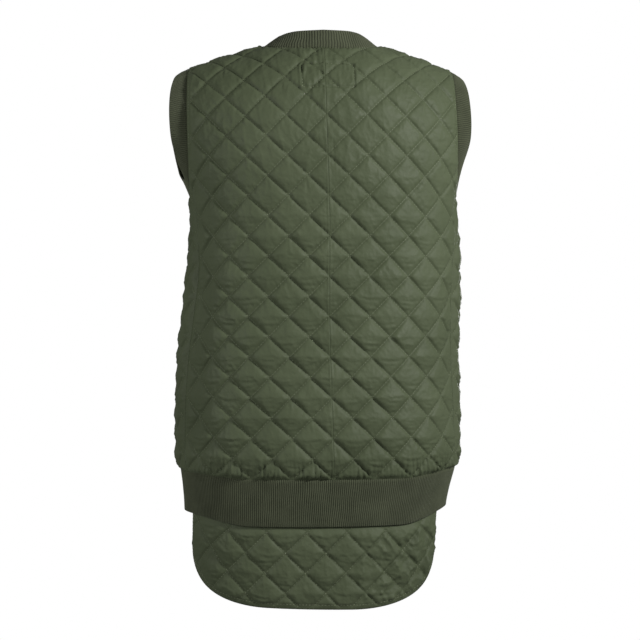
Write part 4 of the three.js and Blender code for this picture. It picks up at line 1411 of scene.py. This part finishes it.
def top_stitches():
    """The label's rectangle, and a row of stitching along the armholes, the tail's edge and the neckline."""
    rows = {name: [] for name in PANELS}
    for name, side in (("back_left", LABEL["left"]), ("back_right", LABEL["right"])):
        start = LABEL["seam"]
        corners = [(start, LABEL_TOP), (side, LABEL_TOP), (side, LABEL_LOW), (start, LABEL_LOW)]
        rows[name].append(resample(np.array(corners, float), LABEL_STEP))
    for name in ("back_left", "back_right", "front_left", "front_right"):
        outline = PANELS[name]["outline"]
        for edge in ("armhole", "neck"):
            rows[name].append(inset_line(outline[edge], TOP_STITCHES[edge]["inset"])[3:-3])
    turned = PANELS["tail"]["outline"]["turned"]
    rows["tail"].append(inset_line(turned, TOP_STITCHES["turned"]["inset"])[4:-4])
    return [
        panel_threads("top_stitches_" + name, PANELS[name], lines, relief_at(PANELS[name]), TOP_THICK)
        for name, lines in rows.items()
    ]


def relief_at(panel):
    """Height just above the finished face at places in the cloth."""
    def lift_of(places):
        rim = rim_of(panel, places)
        return smooth_lift(panel, places, rim) + creases(panel, places, rim) + STITCH_LIFT["top"]

    return lift_of


def inset_line(edge, distance):
    """A line beside an edge, on its left as it runs anticlockwise round the panel."""
    along = np.gradient(edge, axis=0)
    inward = unit(np.column_stack([-along[:, 1], along[:, 0]]))
    return edge + inward * distance


# Materials


def node_tree(name):
    material = bpy.data.materials.new(name)
    material.use_nodes = True
    tree = material.node_tree
    return material, tree, tree.nodes["Principled BSDF"]


def add(tree, kind, **values):
    node = tree.nodes.new(kind)
    for key, value in values.items():
        setattr(node, key, value)
    return node


def set_inputs(node, values):
    for name, value in values.items():
        node.inputs[name].default_value = value


def noise_node(tree, vector, scale, detail=2.0, rough=0.5):
    node = add(tree, "ShaderNodeTexNoise")
    set_inputs(node, {"Scale": scale, "Detail": detail, "Roughness": rough})
    tree.links.new(vector, node.inputs["Vector"])
    return node.outputs["Fac"]


def maths(tree, operation, a, b):
    node = add(tree, "ShaderNodeMath", operation=operation)
    for socket, value in zip(node.inputs, (a, b)):
        if isinstance(value, (int, float)):
            socket.default_value = value
        else:
            tree.links.new(value, socket)
    return node.outputs[0]


def ramp(tree, factor, *stops):
    node = add(tree, "ShaderNodeValToRGB")
    elements = node.color_ramp.elements
    while len(elements) < len(stops):
        elements.new(0.5)
    for element, (place, color) in zip(elements, stops):
        element.position = place
        element.color = (*color, 1)
    tree.links.new(factor, node.inputs["Fac"])
    return node.outputs["Color"]


def bump(tree, height, strength, distance, normal=None):
    node = add(tree, "ShaderNodeBump")
    set_inputs(node, {"Strength": strength, "Distance": distance})
    tree.links.new(height, node.inputs["Height"])
    if normal is not None:
        tree.links.new(normal, node.inputs["Normal"])
    return node.outputs["Normal"]


# The darker and the lighter tone of each material
TONES = {
    "nylon": ((0.070, 0.086, 0.047), (0.085, 0.103, 0.058)),
    "rib": ((0.062, 0.071, 0.040), (0.081, 0.092, 0.053)),
    "thread": ((0.17, 0.19, 0.12), (0.25, 0.28, 0.18)),
    "enamel": ((0.030, 0.036, 0.022), (0.042, 0.049, 0.031)),
    "floor": ((0.30,) * 3, (0.32,) * 3),
}
# Crinkles and ripples: scale, detail and roughness of their noise, then strength, and depth in metres
NYLON_RELIEF = ((420, 3, 0.6, 0.3, 0.0008), (130, 2, 0.55, 0.35, 0.002))
NYLON_ROUGHNESS = ((0.52,) * 3, (0.62,) * 3)
ENAMEL_ROUGHNESS = ((0.30,) * 3, (0.42,) * 3)
# Painted shade in the knit's grooves: where across a rib the colour starts and stops darkening, and how dark
# it gets
RIB_GROOVE_SHADE = {"from": 0.26, "to": 0.48, "dark": 0.4}
WEAVE = 0.0006  # metres from thread to thread
KNIT_LOOP = 0.0017  # metres from stitch to stitch down a rib


def mottle(tree, socket, vector, scale, detail, tones, low=0.3, high=0.7):
    """Fills a socket with two tones that run into each other over slow noise."""
    tone = ramp(tree, noise_node(tree, vector, scale, detail), (low, tones[0]), (high, tones[1]))
    tree.links.new(tone, socket)


def nylon():
    """Satin nylon: a fine plain weave, small crinkles and slow changes of tone."""
    material, tree, shader = node_tree("olive_nylon")
    place = add(tree, "ShaderNodeTexCoord")
    solid = place.outputs["Object"]
    mottle(tree, shader.inputs["Base Color"], solid, 9, 3, TONES["nylon"])
    mottle(tree, shader.inputs["Roughness"], solid, 30, 2, NYLON_ROUGHNESS)
    parts = add(tree, "ShaderNodeSeparateXYZ")
    tree.links.new(place.outputs["UV"], parts.inputs[0])
    turns = [maths(tree, "MULTIPLY", parts.outputs[k], 2 * math.pi / WEAVE) for k in (0, 1)]
    warp, weft = (maths(tree, "SINE", turn, 0) for turn in turns)
    normal = bump(tree, maths(tree, "MULTIPLY", warp, weft), 0.12, 0.00005)
    for scale, detail, rough, strength, deep in NYLON_RELIEF:
        normal = bump(tree, noise_node(tree, solid, scale, detail, rough), strength, deep, normal)
    tree.links.new(normal, shader.inputs["Normal"])
    set_inputs(shader, {"Specular IOR Level": 0.14})
    return material


def rib_knit():
    """Matt knit: columns of small V-shaped stitches on every rib, and painted shade that darkens the grooves
    between the ribs.
    """
    material, tree, shader = node_tree("olive_rib_knit")
    place = add(tree, "ShaderNodeTexCoord")
    solid = place.outputs["Object"]
    parts = add(tree, "ShaderNodeSeparateXYZ")
    tree.links.new(place.outputs["UV"], parts.inputs[0])
    # The map's first number is the rib times 0.001, its second is the height in metres.
    rib = maths(tree, "MULTIPLY", parts.outputs[0], 1000)
    beside = maths(tree, "ABSOLUTE", maths(tree, "SUBTRACT", maths(tree, "FRACT", rib, 0), 0.5), 0)
    slanted = maths(tree, "ADD", maths(tree, "MULTIPLY", parts.outputs[1], 1 / KNIT_LOOP), beside)
    loops = maths(tree, "SINE", maths(tree, "MULTIPLY", slanted, 2 * math.pi), 0)
    # The grooves between ribs are darkened in the base colour: painted shade
    dark = (RIB_GROOVE_SHADE["dark"],) * 3
    grooves = ramp(tree, beside, (RIB_GROOVE_SHADE["from"], (1, 1, 1)), (RIB_GROOVE_SHADE["to"], dark))
    shaded = add(tree, "ShaderNodeMix", data_type="RGBA", blend_type="MULTIPLY")
    set_inputs(shaded, {"Factor": 1})
    mottle(tree, shaded.inputs["A"], solid, 40, 4, TONES["rib"])
    tree.links.new(grooves, shaded.inputs["B"])
    tree.links.new(shaded.outputs["Result"], shader.inputs["Base Color"])
    normal = bump(tree, loops, 0.5, 0.0003)
    normal = bump(tree, noise_node(tree, solid, 900, 2, 0.6), 0.5, 0.0005, normal)
    tree.links.new(normal, shader.inputs["Normal"])
    set_inputs(shader, {"Roughness": 0.93, "Specular IOR Level": 0.25, "Sheen Weight": 0.1})
    return material


def plain_stuff(name, scale, detail, tones, roughness):
    material, tree, shader = node_tree(name)
    place = add(tree, "ShaderNodeTexCoord")
    mottle(tree, shader.inputs["Base Color"], place.outputs["Object"], scale, detail, tones)
    set_inputs(shader, {"Roughness": roughness})
    return material


def stud_enamel():
    material, tree, shader = node_tree("olive_enamel")
    solid = add(tree, "ShaderNodeTexCoord").outputs["Object"]
    mottle(tree, shader.inputs["Base Color"], solid, 300, 3, TONES["enamel"], 0.35, 0.65)
    mottle(tree, shader.inputs["Roughness"], solid, 900, 2, ENAMEL_ROUGHNESS)
    set_inputs(shader, {"Metallic": 0.3, "Coat Weight": 0.35})
    return material


# Light and camera

CAMERA = {"azimuth": 176, "far": 2.3, "height": -0.415, "focal": 1513, "frame": 640}
SENSOR = 36
WORLD_LIGHT = 0.17
FLOOR_Z = -1.35
FLOOR = {"radius": 1.1, "sides": 96}
# Round lamps that face a height on the middle line, with sizes in metres and power in watts
LIGHTS = (
    {"name": "key", "place": (-1.35, 1.25, 0.42), "aim": -0.34, "size": 0.45, "watts": 40},
    {"name": "fill", "place": (1.4, 0.85, -0.12), "aim": -0.25, "size": 0.7, "watts": 9.5},
    {"name": "front_key", "place": (0.0, -2.3, -0.2), "aim": -0.35, "size": 0.35, "watts": 30},
    {"name": "front_fill", "place": (-1.0, -2.1, -0.35), "aim": -0.4, "size": 0.6, "watts": 18},
)


def light(name, place, aim, size, watts):
    data = bpy.data.lights.new(name, "AREA")
    data.shape = "DISK"
    data.size = size
    data.energy = watts
    lamp = bpy.data.objects.new(name, data)
    lamp.location = place
    lamp.rotation_euler = (Vector((0, 0, aim)) - Vector(place)).to_track_quat("-Z", "Y").to_euler()
    bpy.context.scene.collection.objects.link(lamp)


def white_world():
    """Plain white behind the object, and a softer white for its light."""
    world = bpy.data.worlds.new("studio")
    bpy.context.scene.world = world
    world.use_nodes = True
    tree = world.node_tree
    background = tree.nodes["Background"]
    seen = add(tree, "ShaderNodeBackground")
    for ground, strength in ((background, WORLD_LIGHT), (seen, 1.0)):
        set_inputs(ground, {"Color": (1, 1, 1, 1), "Strength": strength})
    path = add(tree, "ShaderNodeLightPath")
    mix = add(tree, "ShaderNodeMixShader")
    tree.links.new(path.outputs["Is Camera Ray"], mix.inputs["Fac"])
    tree.links.new(background.outputs[0], mix.inputs[1])
    tree.links.new(seen.outputs[0], mix.inputs[2])
    tree.links.new(mix.outputs[0], tree.nodes["World Output"].inputs["Surface"])


def studio():
    angle = np.linspace(0, 2 * np.pi, FLOOR["sides"], endpoint=False)
    height = np.full(FLOOR["sides"], FLOOR_Z)
    rim = np.column_stack([FLOOR["radius"] * np.cos(angle), FLOOR["radius"] * np.sin(angle), height])
    mesh = bpy.data.meshes.new("floor")
    mesh.from_pydata(rim.tolist(), [], [tuple(range(FLOOR["sides"]))])
    floor = bpy.data.objects.new("floor", mesh)
    bpy.context.scene.collection.objects.link(floor)
    floor.data.materials.append(plain_stuff("grey_floor", 3, 2, TONES["floor"], 0.9))
    for lamp in LIGHTS:
        light(**lamp)
    white_world()


def camera():
    turn = math.radians(CAMERA["azimuth"])
    data = bpy.data.cameras.new("camera")
    data.sensor_width = SENSOR
    data.lens = SENSOR * CAMERA["focal"] / CAMERA["frame"]
    eye = bpy.data.objects.new("camera", data)
    back = Vector((math.sin(turn), -math.cos(turn), 0))
    eye.location = back * CAMERA["far"] + Vector((0, 0, CAMERA["height"]))
    eye.rotation_euler = (-back).to_track_quat("-Z", "Y").to_euler()
    bpy.context.scene.collection.objects.link(eye)
    bpy.context.scene.camera = eye
    bpy.context.scene.view_settings.view_transform = "Standard"


def dress(pieces, material):
    for piece in pieces:
        piece.data.materials.clear()
        piece.data.materials.append(material)


camera()
studio()
panels = {name: quilted_panel(name, panel) for name, panel in PANELS.items()}
bands = [
    armhole_band("armhole_rib_left", 1, "back_left", "front_left", 61),
    armhole_band("armhole_rib_right", -1, "back_right", "front_right", 67),
    neck_band(),
    waistband(),
]
strip = placket()
studs = [stud(index) for index in range(STUD_COUNT)]
stitches = [quilting_stitches(name, panel) for name, panel in PANELS.items()] + top_stitches()
cloth = nylon()
dress(list(panels.values()) + [strip], cloth)
dress([piece for piece, _, _ in bands], rib_knit())
dress(stitches, plain_stuff("olive_thread", 700, 2, TONES["thread"], 0.6))
dress(studs, stud_enamel())
